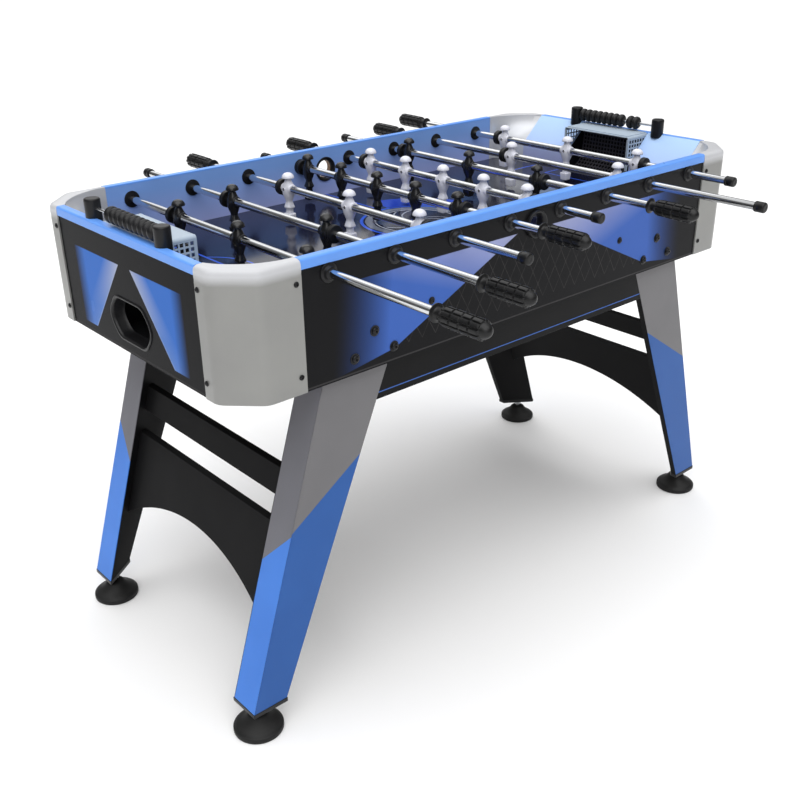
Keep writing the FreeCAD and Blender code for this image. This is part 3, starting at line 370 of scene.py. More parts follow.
def apron_material():
    g = G("apron_black", 0.4, spec=0.08)
    x, y, z = g.xyz()
    big = g.noise(5.0, 3.0)
    black = g.mix(big.ramp(0.3, 0.7), srgb(20, 20, 21), srgb(26, 26, 27))
    g.set("Base Color", g.mix(z.band(634.2, 636.2, 0.2) * y.abs().gt(322.5), black, srgb(70, 108, 184)))
    g.bump(g.noise(500.0, 3.0), 0.1, 0.0003)
    return g.m


M["side_panel"] = side_panel_material()
M["end_panel"] = end_panel_material()
M["field"] = field_material()
M["end_wall"] = end_wall_material()
M["leg_side"] = leg_side_material()
M["leg_end"] = leg_end_material()
M["apron"] = apron_material()


# ================================================================ mesh code
class Piece(object):
    """Collects vertices and faces, then becomes one object."""

    def __init__(self):
        self.v, self.f, self.k = [], [], []

    def add(self, vf, mat=0, place=None):
        verts, faces = vf
        o = len(self.v)
        if place is not None:
            verts = [place @ Vector(p) for p in verts]
        self.v += [(p[0], p[1], p[2]) for p in verts]
        self.f += [tuple(o + i for i in q) for q in faces]
        self.k += [mat] * len(faces)
        return self

    def make(self, name, body, mats, slot, replaces=(), angle=38.0, bevel=0.0):
        me = bpy.data.meshes.new(name)
        me.from_pydata([(x * 0.001, (y + YC) * 0.001, z * 0.001) for x, y, z in self.v], [], self.f)
        for m in mats:
            me.materials.append(M[m])
        for p, k in zip(me.polygons, self.k):
            p.material_index = k
        bm = bmesh.new()
        bm.from_mesh(me)
        bmesh.ops.remove_doubles(bm, verts=bm.verts, dist=2e-6)
        bmesh.ops.recalc_face_normals(bm, faces=bm.faces)
        bm.to_mesh(me)
        bm.free()
        me.shade_smooth()
        me.set_sharp_from_angle(angle=radians(angle))
        ob = bpy.data.objects.new(name, me)
        bpy.context.scene.collection.objects.link(ob)
        if bevel:
            md = ob.modifiers.new("edge", "BEVEL")
            md.width = bevel * 0.001
            md.segments = 3
            md.limit_method = "ANGLE"
            md.angle_limit = radians(30)
            md.harden_normals = False
        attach(ob, body)
        if replaces:
            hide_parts(*replaces)
        return ob


def rev(prof, seg=48):
    """Turned shape round local Z from (radius, height) points."""
    v, f, rows = [], [], []
    for r, z in prof:
        if r < 1e-6:
            rows.append([len(v)])
            v.append((0, 0, z))
        else:
            rows.append(list(range(len(v), len(v) + seg)))
            v += [(r * cos(2 * pi * i / seg), r * sin(2 * pi * i / seg), z) for i in range(seg)]
    for a, b in zip(rows, rows[1:]):
        for i in range(seg):
            j = (i + 1) % seg
            if len(a) == 1 and len(b) == 1:
                continue
            if len(a) == 1:
                f.append((a[0], b[i], b[j]))
            elif len(b) == 1:
                f.append((a[i], a[j], b[0]))
            else:
                f.append((a[i], a[j], b[j], b[i]))
    return v, f


def loft(rings, cap0=True, cap1=True, closed=True):
    """Skin through rings of equal length."""
    v, f = [], []
    n = len(rings[0])
    for r in rings:
        v += list(r)
    for k in range(len(rings) - 1):
        for i in range(n if closed else n - 1):
            j = (i + 1) % n
            f.append((k * n + i, k * n + j, (k + 1) * n + j, (k + 1) * n + i))
    if cap0:
        f.append(tuple(range(n))[::-1])
    if cap1:
        f.append(tuple((len(rings) - 1) * n + i for i in range(n)))
    return v, f


def oval(z, hx, hy, p=2.0, ox=0.0, n=40):
    """Superellipse ring at height z."""
    out = []
    for i in range(n):
        a = 2 * pi * i / n
        c, s = cos(a), sin(a)
        out.append((ox + hx * math.copysign(abs(c) ** (2.0 / p), c), hy * math.copysign(abs(s) ** (2.0 / p), s), z))
    return out


def arc(cx, cy, r, a0, a1, n=6):
    return [(cx + r * cos(radians(a0 + (a1 - a0) * i / n)), cy + r * sin(radians(a0 + (a1 - a0) * i / n))) for i in range(n + 1)]


def T(x, y, z):
    return Matrix.Translation((x, y, z))


def RX(a):
    return Matrix.Rotation(radians(a), 4, "X")


def RY(a):
    return Matrix.Rotation(radians(a), 4, "Y")


def RZ(a):
    return Matrix.Rotation(radians(a), 4, "Z")


def along_y(x, y, z, sign=1):
    """Local Z becomes the sign of Y at that point."""
    return T(x, y, z) @ RX(-90 if sign > 0 else 90)


def along_x(x, y, z, sign=1):
    return T(x, y, z) @ RY(90 if sign > 0 else -90)


def smooth(a, b, x):
    t = min(1.0, max(0.0, (x - a) / (b - a)))
    return t * t * (3 - 2 * t)


# ================================================================ players
def man_shapes():
    out = []
    foot = [(-71, 7.6, 8.4, 7), (-70.4, 8.4, 9.2, 7), (-69, 8.7, 9.5, 7), (-56, 9.8, 11.0, 7), (-54.4, 9.8, 11.0, 7), (-53.6, 9.2, 10.3, 7)]
    out.append((loft([oval(z, a, b, p) for z, a, b, p in foot]), 0))
    body = [(-54.0, 7.3, 7.7, 2.6), (-48.0, 7.0, 7.4, 2.5), (-42.6, 7.2, 7.7, 2.6), (-42.0, 8.6, 9.2, 3.2), (-41.0, 9.5, 10.1, 3.4),
            (-38.8, 9.6, 10.2, 3.4), (-37.6, 9.2, 9.8, 3.2), (-33.5, 8.0, 8.8, 2.8), (-29.5, 7.0, 7.6, 2.4), (-27.0, 6.9, 7.4, 2.3),
            (-23.5, 7.9, 8.6, 2.2), (-18.0, 10.0, 11.2, 2.2), (-12.0, 11.8, 13.6, 2.2), (-6.0, 12.7, 14.8, 2.2), (-1.0, 12.8, 14.9, 2.2),
            (4.0, 12.0, 13.4, 2.2), (9.0, 10.2, 11.2, 2.2), (13.5, 8.3, 9.1, 2.2), (16.8, 7.1, 7.5, 2.1), (19.0, 6.7, 6.8, 2.0), (22.5, 6.8, 6.8, 2.0)]
    out.append((loft([oval(z, a, b, p) for z, a, b, p in body]), 0))
    head = [(0, 21.6), (6.7, 21.6), (11.0, 21.9), (12.9, 22.3), (13.5, 23.0), (13.4, 24.2), (12.7, 26.6), (11.4, 28.9), (9.5, 31.0), (7.0, 32.7), (3.6, 33.8), (0, 34.0)]
    out.append((rev(head, 40), 0))
    boss = [(8.0, -15.0), (9.6, -15.0), (10.4, -14.2), (10.6, -13.0), (10.6, 13.0), (10.4, 14.2), (9.6, 15.0), (8.0, 15.0)]
    v, f = rev(boss, 36)
    out.append(((([tuple(RX(-90) @ Vector(p)) for p in v]), f), 0))
    # screw boss in front with the screw set into it
    ring = [(3.9, 11.0), (3.9, 12.8), (3.5, 13.2), (2.9, 13.2), (2.7, 12.9), (2.7, 12.2)]
    v, f = rev(ring, 24)
    out.append((([tuple(RY(90) @ Vector(p)) for p in v], f), 0))
    head2 = [(2.9, 13.25), (2.6, 13.35), (1.3, 13.35), (1.1, 12.3), (0, 12.3)]
    v, f = rev(head2, 18)
    out.append((([tuple(RY(90) @ Vector(p)) for p in v], f), 1))
    return out


MAN = man_shapes()


# ================================================================ grips and ends
def grip_shape():
    """Ribbed grip along local Z: flange, neck, body with staggered ribs and round end."""
    L = 112.0
    neck = [(8.0, 0.0), (14.2, 0.0), (15.0, 0.6), (15.2, 1.8), (15.0, 2.8), (13.6, 3.5), (11.2, 4.2), (9.9, 5.6), (9.5, 8.5), (9.8, 12.5), (10.9, 15.6)]
    zs = [15.6 + (L - 15.6) * i / 150.0 for i in range(151)]
    nt = 160
    ribs = 10
    rows = [(17.2, 21.2), (23.0, 40.2), (42.2, 59.8), (61.8, 78.8), (80.8, 99.0)]

    def env(z):
        r = 10.9 + 2.1 * smooth(15.6, 24.0, z) + 0.5 * smooth(24.0, 60.0, z)
        q = (z - (L - 19.0)) / 19.0
        if q > 0:
            r *= math.sqrt(max(0.0, 1.0 - q * q * 0.999)) * 0.999 + 0.001
        return r

    v, f = [], []
    for z in zs:
        base = env(z)
        row, h = None, 0.0
        for k, (a, b) in enumerate(rows):
            if a - 1.0 <= z <= b + 1.0:
                row, h = k, smooth(a - 0.6, a + 0.9, z) * (1 - smooth(b - 0.9, b + 0.6, z))
        for i in range(nt):
            t = 2 * pi * i / nt
            r = base
            if row is not None:
                r += min(2.7, 0.3 + base * 0.2) * h * smooth(-0.88, -0.3, cos(ribs * t))
            v.append((r * cos(t), r * sin(t), z))
    n = len(zs)
    for k in range(n - 1):
        for i in range(nt):
            j = (i + 1) % nt
            f.append((k * nt + i, k * nt + j, (k + 1) * nt + j, (k + 1) * nt + i))
    f.append(tuple((n - 1) * nt + i for i in range(nt)))
    return rev(neck, 56), (v, f)


GRIP = grip_shape()
TIP = rev([(8.0, 0.0), (9.6, 0.0), (10.4, 0.6), (10.6, 1.4), (10.6, 5.0), (10.2, 5.4), (10.2, 6.4), (10.6, 6.8), (10.6, 18.4),
           (10.2, 20.4), (9.0, 21.6), (7.4, 22.0), (4.0, 22.0), (3.6, 21.5), (0, 21.5)], 44)
BUMP = rev([(8.0, 0.0), (15.2, 0.0), (16.6, 0.5), (17.2, 1.6), (17.2, 4.6), (16.6, 5.4), (16.6, 6.6), (17.2, 7.4), (17.2, 10.4),
            (16.6, 11.5), (15.2, 12.0), (8.0, 12.0), (8.0, 0.0)], 48)

for i in range(8):
    n = i + 1
    count = TEAM[i]
    half = 0.5 * (count - 1) * SPACING[count]
    go = 293.7 - half
    x, s = ROD_X[i], SHIFT[i]
    sg = -1 if NEAR[i] else 1
    face = 0 if NEAR[i] else 180
    tip = 380.0 + go + {3: 18.0, 5: 11.0}.get(n, 0.0)
    grip = 420.0 + go + (14.0 if n == 1 else 0.0)
    # tube
    p = Piece()
    lo, hi = sorted((sg * (grip + 100.0), -sg * (tip - 3.0)))
    p.add(rev([(0, 0), (7.95, 0), (7.95, hi - lo), (0, hi - lo)], 40), 0, along_y(x, lo + s, ROD_Z))
    p.make("rod_%d_tube" % n, "rod_%d" % n, ["chrome"], "chrome", ["rod_%d_bar" % n])
    # players
    p = Piece()
    for k in range(count):
        y = (k - 0.5 * (count - 1)) * SPACING[count] + s
        place = T(x, y, ROD_Z) @ RZ(face)
        for shape, m in MAN:
            p.add(shape, m, place)
    p.make("rod_%d_team" % n, "rod_%d" % n, ["black_player" if NEAR[i] else "white_player", "screw"],
           "black_team" if NEAR[i] else "white_team", ["rod_%d_players" % n], angle=50.0)
    # grip and end cap
    p = Piece()
    place = along_y(x, sg * grip + s, ROD_Z, sg)
    p.add(GRIP[0], 0, place)
    p.add(GRIP[1], 0, place)
    p.add(TIP, 0, along_y(x, -sg * (tip - 22.0) + s, ROD_Z, -sg))
    p.make("rod_%d_handle" % n, "rod_%d" % n, ["rubber"], "black_plastic", ["rod_%d_grip_and_cap" % n], angle=50.0)
    # bumpers
    p = Piece()
    for q in (-1, 1):
        p.add(BUMP, 0, along_y(x, q * (half + 15.3) + s, ROD_Z, q))
    p.make("rod_%d_rings" % n, "rod_%d_slider" % n, ["rubber"], "black_rubber", ["rod_%d_bumpers" % n])

# ================================================================ bearings
bear = [(8.0, -3.0), (15.6, -3.0), (16.8, -2.4), (17.2, -1.4), (17.2, 0.0), (14.0, 0.0), (14.0, 16.0), (17.2, 16.0), (17.2, 17.6),
        (16.6, 18.6), (15.4, 19.0), (13.4, 19.0), (12.6, 19.4), (12.0, 20.2), (11.6, 24.6), (11.0, 25.6), (9.8, 26.0), (8.0, 26.0), (8.0, -3.0)]
p = Piece()
B = rev(bear, 48)
for x in ROD_X:
    for q in (-1, 1):
        p.add(B, 0, along_y(x, q * 324.0, ROD_Z, q))
        for k in range(4):
            a = k * pi / 2 + pi / 4
            p.add(rev([(1.5, 18.8), (1.4, 19.3), (0, 19.5)], 10), 0, along_y(x, q * 324.0, ROD_Z, q) @ T(14.9 * cos(a), 14.9 * sin(a), 0))
p.make("bearing_bushings", "cabinet", ["black_plastic"], "black_plastic", ["rod_bearings"])

# ================================================================ rail trims
tr = [(324.2, 923.0)] + [(341.8, 923.0), (340.2, 923.0), (340.2, 909.2), (341.0, 909.0)] + [(341.9, 909.8)] + arc(337.4, 922.5, 4.5, 0, 90, 7) + arc(325.6, 925.6, 1.4, 90, 180, 3)


def trim_ring(pts, pos, long_side, sg):
    if long_side:
        return [(pos, sg * a, b) for a, b in pts]
    return [(sg * (a + 358.0), pos, b) for a, b in pts]


p = Piece()
side = [(324.2, 923.1), (340.1, 923.1), (340.1, 909.2), (341.2, 909.0), (341.9, 909.8)] + arc(337.4, 922.4, 4.5, 0, 90, 7) + arc(325.8, 925.3, 1.6, 90, 180, 4)
for q in (-1, 1):
    p.add(loft([trim_ring(side, -561.0, True, q), trim_ring(side, 561.0, True, q)]))
    p.add(loft([trim_ring(side, -248.0, False, q), trim_ring(side, 248.0, False, q)]))
p.make("rail_caps", "cabinet", ["trim"], "blue_trim", ["top_rail_trims"])


# ================================================================ corner caps
def outer_line(n_arc=10):
    """Points and outward normals of the cap's plan from the long side to the end."""
    P0, P1, P2, P3 = (561.0, 343.0), (640.0, 343.0), (701.0, 283.0), (701.0, 248.0)
    R = 30.0

    def fillet(a, b, c):
        d1 = Vector((b[0] - a[0], b[1] - a[1])).normalized()
        d2 = Vector((c[0] - b[0], c[1] - b[1])).normalized()
        turn = math.acos(max(-1, min(1, d1.dot(d2))))
        t = R * math.tan(turn / 2)
        start = Vector(b) - d1 * t
        nrm = Vector((-d1.y, d1.x))
        centre = start - nrm * R
        out = []
        for i in range(n_arc + 1):
            ang = turn * i / n_arc
            m = Vector((nrm.x * cos(ang) + nrm.y * sin(ang), -nrm.x * sin(ang) + nrm.y * cos(ang)))
            out.append((centre + m * R, m))
        return out

    pts = [(Vector((P0[0] + (d), 343.0)), Vector((0, 1))) for d in (0.0, 15.0, 32.0, 48.0)]
    f1 = fillet(P0, P1, P2)
    f2 = fillet(P1, P2, P3)
    pts += f1
    a, b = f1[-1][0], f2[0][0]
    pts += [(a.lerp(b, q), f1[-1][1]) for q in (0.25, 0.5, 0.75)]
    pts += f2
    pts += [(Vector((701.0, y)), Vector((1, 0))) for y in (262.0, 255.0, 248.0)]
    return pts


def circle3(a, m, c, q):
    """Point at fraction q of the arc through three points."""
    ax, ay, bx, by, cx, cy = a[0], a[1], m[0], m[1], c[0], c[1]
    d = 2 * (ax * (by - cy) + bx * (cy - ay) + cx * (ay - by))
    ux = ((ax * ax + ay * ay) * (by - cy) + (bx * bx + by * by) * (cy - ay) + (cx * cx + cy * cy) * (ay - by)) / d
    uy = ((ax * ax + ay * ay) * (cx - bx) + (bx * bx + by * by) * (ax - cx) + (cx * cx + cy * cy) * (bx - ax)) / d
    r = hypot(ax - ux, ay - uy)
    t0, t1 = math.atan2(ay - uy, ax - ux), math.atan2(cy - uy, cx - ux)
    while t1 > t0:
        t1 -= 2 * pi
    if t0 - t1 > pi:
        t1 += 2 * pi
    t = t0 + (t1 - t0) * q
    return Vector((ux + r * cos(t), uy + r * sin(t)))


def cap_shape():
    line = outer_line()
    d = [0.0]
    for (a, _), (b, _) in zip(line, line[1:]):
        d.append(d[-1] + (b - a).length)
    rings = []
    for (pt, nm), s in zip(line, d):
        q = s / d[-1]
        if s < 16.0:
            top = Vector((561.0 + s, 323.3))
            low = Vector((561.0 + s, 323.3))
        else:
            w = (s - 16.0) / (d[-1] - 16.0)
            top = circle3((577.0, 323.3), (648.0, 291.0), (681.5, 248.0), w)
            low = circle3((577.0, 323.3), (603.0, 297.0), (613.6, 248.0), w)
        knee = low

        def off(o):
            return pt - nm * o

        ring = []
        for o, z in ((3.0, 695.0), (0.8, 695.0), (0.2, 695.2), (0.0, 695.8), (0.0, 800.0), (0.0, 899.0), (0.25, 901.5), (0.5, 903.5), (0.35, 905.5), (0.0, 907.5), (0.0, 911.0)):
            c = off(o)
            ring.append((c.x, c.y, z))
        for k in range(1, 9):
            a = radians(90.0 * k / 8)
            c = off(13.5 * (1 - max(0.0, cos(a)) ** 0.62))
            ring.append((c.x, c.y, 911.0 + 15.6 * sin(a) ** 0.62))
        c0 = off(13.5)
        for w, z in ((0.2, 926.9), (0.45, 926.4), (0.7, 926.6), (0.86, 927.0), (0.94, 926.8), (0.98, 926.2), (1.0, 925.0)):
            c = c0.lerp(top, w)
            ring.append((c.x, c.y, z))
        for w, z in ((0.0, 923.5), (0.25, 908.2), (0.5, 892.9), (0.75, 877.6), (0.96, 864.6), (1.0, 860.5)):
            c = top.lerp(knee, w)
            ring.append((c.x, c.y, z))
        ring.append((low.x, low.y, 816.2))
        rings.append(ring)
    return loft(rings, True, True, closed=False)


CAP = cap_shape()
p = Piece()
for sx in (-1, 1):
    for sy in (-1, 1):
        p.add(CAP, 0, Matrix.Diagonal((sx, sy, 1, 1)))
p.make("corner_mouldings", "cabinet", ["cap"], "silver_plastic", ["corner_caps"], angle=40.0)

# ================================================================ bolts and screws
SCREW = rev([(4.9, 0.0), (5.0, 0.5), (4.7, 1.4), (3.8, 2.3), (2.6, 2.8), (1.9, 2.9), (1.7, 1.4), (0, 1.3)], 24)
hexr = [(2.6 * cos(pi / 3 * k), 2.6 * sin(pi / 3 * k)) for k in range(6)]


def bolt_shape():
    """Domed head with a washer and a hexagon socket."""
    parts = [rev([(10.2, 0.0), (10.2, 1.0), (9.6, 1.6), (7.4, 1.7), (7.4, 2.2), (7.2, 3.6), (6.3, 5.0), (4.8, 5.8), (3.4, 6.0)], 32)]
    n = 24
    rim = [(3.4 * cos(2 * pi * i / n), 3.4 * sin(2 * pi * i / n), 6.0) for i in range(n)]
    hx = []
    for i in range(n):
        a = 2 * pi * i / n
        k = (a % (pi / 3)) - pi / 6
        r = 2.6 * cos(pi / 6) / cos(k)
        hx.append((r * cos(a), r * sin(a), 5.9))
    deep = [(x, y, 3.2) for x, y, z in hx]
    parts.append(loft([rim, hx, deep], False, True))
    return parts


BOLT = bolt_shape()
p = Piece()
for sx in (-1, 1):
    for sy in (-1, 1):
        for x, z, k in ((410, 765, 1.0), (366, 724, 1.0), (456, 725, 1.0), (274, 787, 0.72)):
            for b in BOLT:
                p.add(b, 0, along_y(sx * x, sy * 340.0, z, sy) @ Matrix.Scale(k, 4))
        for x, z in ((572, 888), (572, 726)):
            p.add(SCREW, 0, along_y(sx * x, sy * 343.0, z, sy))
        for y, z in ((256, 888), (256, 726)):
            p.add(SCREW, 0, along_x(sx * 701.0, sy * y, z, sx))
        # one small screw low on each leg's inner board
        t = (695.0 - 100.0) / 630.0
        xi, xo = 364.5 + 273.5 * t, 513.5 + 200.5 * t
        nx, ny = 70.0 / hypot(70, xo - xi), (xo - xi) / hypot(70, xo - xi)
        cx, cy = 0.5 * (xi + xo), 0.5 * (324.0 + 254.0)
        d = Vector((-sx * nx, -sy * ny, 0.0)).normalized()
        p.add(rev([(3.4, 0.0), (3.3, 0.7), (2.2, 1.4), (0.8, 1.5), (0.7, 0.8), (0, 0.8)], 16), 0,
              T(sx * cx, sy * cy, 100.0) @ d.to_track_quat("Z", "Y").to_matrix().to_4x4())
p.make("bolt_heads", "cabinet", ["screw"], "steel_black", ["bolts_and_screws"])


# ================================================================ legs, end caps, feet
def leg_x(z, outer):
    t = (695.0 - z) / 630.0
    return 513.5 + 200.5 * t if outer else 364.5 + 273.5 * t


def leg_part(sx, sy):
    """Three boards: side, end and the black diagonal, meeting at tight seams."""
    p = Piece()
    rows = {}
    for z in (65.0, 782.0):
        xi, xo = leg_x(z, False), leg_x(z, True)
        rows[z] = (xi, xo)

    def board(poly_at, mat):
        lo = [(sx * x, sy * y, 65.0) for x, y in poly_at(65.0)]
        hi = [(sx * x, sy * y, 782.0) for x, y in poly_at(782.0)]
        p.add(loft([lo, hi]), mat)

    def side(z):
        xi, xo = leg_x(z, False), leg_x(z, True)
        return [(xi + 10.5, 324.0), (xo, 324.0), (xo - 0.35, 323.5), (xo - 16, 309.0), (xi + 26.5, 309.0)]

    def side2(z):
        xi, xo = leg_x(z, False), leg_x(z, True)
        return [(xi + 0.3, 324.0), (xo - 0.1, 324.0), (xo - 15.8, 309.2), (xi + 0.3, 309.2)]

    def end(z):
        xo = leg_x(z, True)
        return [(xo, 323.7), (xo, 256.0), (xo - 2.2, 256.0), (xo - 15.2, 269.8), (xo - 15.2, 308.9)]

    def diag(z):
        xi, xo = leg_x(z, False), leg_x(z, True)
        return [(xi, 309.0), (xi + 18.0, 309.0), (xo - 15.6, 269.0), (xo - 1.6, 255.4), (xo - 0.6, 254.0), (xo - 2.0, 254.4)]

    def edge(z):
        xi = leg_x(z, False)
        return [(xi - 0.2, 323.4), (xi + 0.25, 323.4), (xi + 0.25, 309.0), (xi - 0.2, 309.0)]

    board(side2, 0)
    board(end, 1)
    board(diag, 2)
    board(edge, 2)
    return p


for nm, sx, sy in (("front_left", -1, -1), ("front_right", 1, -1), ("rear_left", -1, 1), ("rear_right", 1, 1)):
    leg_part(sx, sy).make("leg_boards_" + nm, "cabinet", ["leg_side", "leg_end", "brace"], "leg_board", ["leg_" + nm], bevel=0.7)

p = Piece()
for sx in (-1, 1):
    for sy in (-1, 1):
        rings = []
        for z, k in ((54.0, 3.0), (54.6, 1.6), (56.2, 0.2), (57.0, 0.0), (65.0, 0.0)):
            xi, xo = leg_x(65.0, False) - 1.0 + 2.0 * k, leg_x(65.0, True) + 1.0 - k
            yo, yi = 325.0 - k, 252.5 + 1.8 * k
            rings.append([(sx * xi, sy * yo, z), (sx * xo, sy * yo, z), (sx * xo, sy * yi, z), (sx * (xi + 0.4), sy * (yo - 17.0 + k), z)])
        p.add(loft(rings))
p.make("leg_shoes", "cabinet", ["black_plastic"], "black_plastic", ["leg_end_caps"], bevel=0.8)

foot = [(0, 0.0), (46.5, 0.0), (48.4, 0.8), (49.0, 2.4), (49.0, 9.4), (48.3, 10.8), (46.8, 11.6), (45.6, 12.6), (44.6, 14.2), (41.0, 16.4), (36.0, 19.2),
        (31.0, 22.8), (26.0, 27.6), (22.6, 31.6), (20.4, 35.0), (18.4, 37.2), (15.0, 38.4), (8.0, 38.9), (5.4, 39.0)]
stud = [(4.7, 38.9), (4.7, 43.6)]
z = 43.6
thread = []
while z < 79.0:
    thread += [(4.55, z), (4.98, z + 0.6), (4.98, z + 0.9), (4.55, z + 1.5)]
    z += 1.5
thread += [(4.0, 80.0), (0, 80.0)]
nut = [(9.7 * cos(pi / 3 * k + 0.3), 9.7 * sin(pi / 3 * k + 0.3)) for k in range(6)]
for nm, sx, sy in (("front_left", -1, -1), ("front_right", 1, -1), ("rear_left", -1, 1), ("rear_right", 1, 1)):
    p = Piece()
    at = T(sx * 688.0, sy * 293.0, 0.0)
    p.add(rev(foot, 72), 0, at)
    p.add(rev(stud + thread, 28), 1, at)
    p.add(loft([[(x * k, y * k, zz) for x, y in nut] for zz, k in ((44.0, 0.9), (44.8, 1.0), (52.8, 1.0), (53.6, 0.9))]), 1, at)
    p.make("foot_pad_" + nm, "foot_" + nm, ["black_matte", "zinc"], "black_plastic", ["leveler_" + nm], angle=32.0)

# ================================================================ aprons and braces
p = Piece()
for sy in (-1, 1):
    rings = []
    for y in (324.0, 309.0):
        rings.append([(-leg_x(622, False) + 0.3, sy * y, 622.0), (leg_x(622, False) - 0.3, sy * y, 622.0),
                      (leg_x(782, False) - 0.3, sy * y, 782.0), (-leg_x(782, False) + 0.3, sy * y, 782.0)])
    p.add(loft(rings))
p.make("apron_boards", "cabinet", ["apron"], "black_board", ["lower_aprons"], bevel=0.8)


def brace_ring(pts, depth, sx):
    return [(sx * (leg_x(z, True) - depth), y, z) for y, z in pts]


def diag_y(z, depth):
    """Where the brace meets the leg's diagonal face."""
    xi, xo = leg_x(z, False), leg_x(z, True)
    return 254.0 + depth * 70.0 / (xo - xi) - 0.3


p = Piece()
for sx in (-1, 1):
    for kind in ("rail", "arch"):
        rings = []
        for depth in (20.0, 35.7):
            if kind == "rail":
                pts = [(-diag_y(452, depth), 452.0), (diag_y(452, depth), 452.0), (diag_y(503, depth), 503.0), (-diag_y(503, depth), 503.0)]
            else:
                pts = [(diag_y(403, depth), 403.0), (-diag_y(403, depth), 403.0)]
                for k in range(33):
                    a = -1 + 2 * k / 32.0
                    y = a * diag_y(230, depth)
                    zz = 296.0 - 485.0 + math.sqrt(485.0 ** 2 - y * y)
                    pts.append((y, zz))
            rings.append(brace_ring(pts, depth, sx))
        p.add(loft(rings))
p.make("brace_boards", "cabinet", ["brace"], "black_board", ["end_braces"], bevel=0.8)


# ================================================================ goals
def perforated(u0, u1, v0, v1, pitch, hole, keep):
    """Flat sheet with square holes: points (u, v) and faces."""
    nu, nv = max(1, int((u1 - u0) / pitch)), max(1, int((v1 - v0) / pitch))
    mu, mv = (u1 - u0 - nu * pitch) / 2, (v1 - v0 - nv * pitch) / 2
    us, vs = [u0], [v0]
    for i in range(nu):
        c = u0 + mu + (i + 0.5) * pitch
        us += [c - hole / 2, c + hole / 2]
    for i in range(nv):
        c = v0 + mv + (i + 0.5) * pitch
        vs += [c - hole / 2, c + hole / 2]
    us.append(u1)
    vs.append(v1)
    v = [(a, b) for b in vs for a in us]
    f = []
    W = len(us)
    for j in range(len(vs) - 1):
        for i in range(W - 1):
            if i % 2 and j % 2 and keep(0.5 * (us[i] + us[i + 1]), 0.5 * (vs[j] + vs[j + 1])):
                continue
            f.append((j * W + i, j * W + i + 1, (j + 1) * W + i + 1, (j + 1) * W + i))
    return v, f


def sheet(uvf, to3, thick, cuts=()):
    """Gives a perforated sheet its place, its thickness and its cut edges."""
    uv, faces = uvf
    bm = bmesh.new()
    vs = [bm.verts.new(to3(a, b)) for a, b in uv]
    for q in faces:
        bm.faces.new([vs[i] for i in q])
    for co, no in cuts:
        bmesh.ops.bisect_plane(bm, geom=bm.verts[:] + bm.edges[:] + bm.faces[:], plane_co=co, plane_no=no, clear_outer=True)
    bmesh.ops.recalc_face_normals(bm, faces=bm.faces)
    bmesh.ops.solidify(bm, geom=bm.faces[:], thickness=thick)
    bm.verts.index_update()
    out = ([tuple(q.co) for q in bm.verts], [tuple(q.index for q in g.verts) for g in bm.faces])
    bm.free()
    return out


p = Piece()
for sx in (-1, 1):
    top = perforated(608.0, 682.0, -94.0, 94.0, 9.2, 6.3, lambda u, v: False)
    p.add(sheet(top, lambda a, b: (sx * a, b, 924.8), 1.8 * sx * -1))
    for sy in (-1, 1):
        wall = perforated(607.0, 682.0, 822.0, 918.5, 10.4, 7.2, lambda u, v: u > 611 and v > 862)
        p.add(sheet(wall, lambda a, b: (sx * a, sy * 99.6, b), 1.6, [((sx * 620.0, 0, 868.0), (sx * 0.64, 0, -0.77))]))
        # front strip beside the opening
        p.add(loft([[(sx * 604.0, sy * 100.0, 816.0), (sx * 608.5, sy * 100.0, 816.0), (sx * 608.5, sy * 95.0, 816.0), (sx * 604.0, sy * 95.0, 816.0)],
                    [(sx * 604.0, sy * 100.0, 918.5), (sx * 608.5, sy * 100.0, 918.5), (sx * 608.5, sy * 95.0, 918.5), (sx * 604.0, sy * 95.0, 918.5)]]))
        # rounded fold between the top and the side
        fold = [(93.5, 925.0)] + arc(93.5, 918.5, 6.5, 90, 0, 7) + [(97.6, 918.5)] + arc(93.5, 918.5, 4.1, 0, 90, 7)
        p.add(loft([[(sx * 604.0, sy * a, b) for a, b in fold], [(sx * 682.0, sy * a, b) for a, b in fold]]))
        # black sheets in the cage below the slope: painted shade of the dark cavity where the balls drop
        p.add(loft([[(sx * 608.6, sy * k, 812.5), (sx * 681.6, sy * k, 812.5), (sx * 681.6, sy * k, 911.0), (sx * 672.0, sy * k, 908.0), (sx * 608.6, sy * k, 853.0)]
                    for k in (96.8, 98.4)]), 2)
    lipf = [(604.0, 922.6), (604.2, 924.2), (605.0, 925.0), (608.4, 925.0), (608.4, 922.9), (606.0, 922.4)]
    p.add(loft([[(sx * a, -95.0, b) for a, b in lipf], [(sx * a, 95.0, b) for a, b in lipf]]))
    # dark netting: upright at the top, curling forward at the bottom
    net = perforated(-93.0, 93.0, 0.0, 108.0, 9.6, 6.6, lambda u, v: True)

    def bowl(a, b):
        if b < 62.0:
            return (sx * (677.0 - 0.10 * b), a, 914.0 - b)
        t = (b - 62.0) / 46.0
        return (sx * (670.8 - 34.0 * t * t), a, 852.0 - 38.0 * t + 4.0 * t * t)

    p.add(sheet(net, bowl, 1.4), 1)
    # black sheet behind the netting: painted shade inside the goal
    p.add(loft([[(sx * 682.4, -96.0, 812.5), (sx * 682.4, 96.0, 812.5), (sx * 681.6, 96.0, 812.5), (sx * 681.6, -96.0, 812.5)],
                [(sx * 682.4, -96.0, 922.0), (sx * 682.4, 96.0, 922.0), (sx * 681.6, 96.0, 922.0), (sx * 681.6, -96.0, 922.0)]]), 2)
p.make("goal_cages", "cabinet", ["goal", "mesh", "painted_shade"], "grey_plastic", ["goal_boxes"])


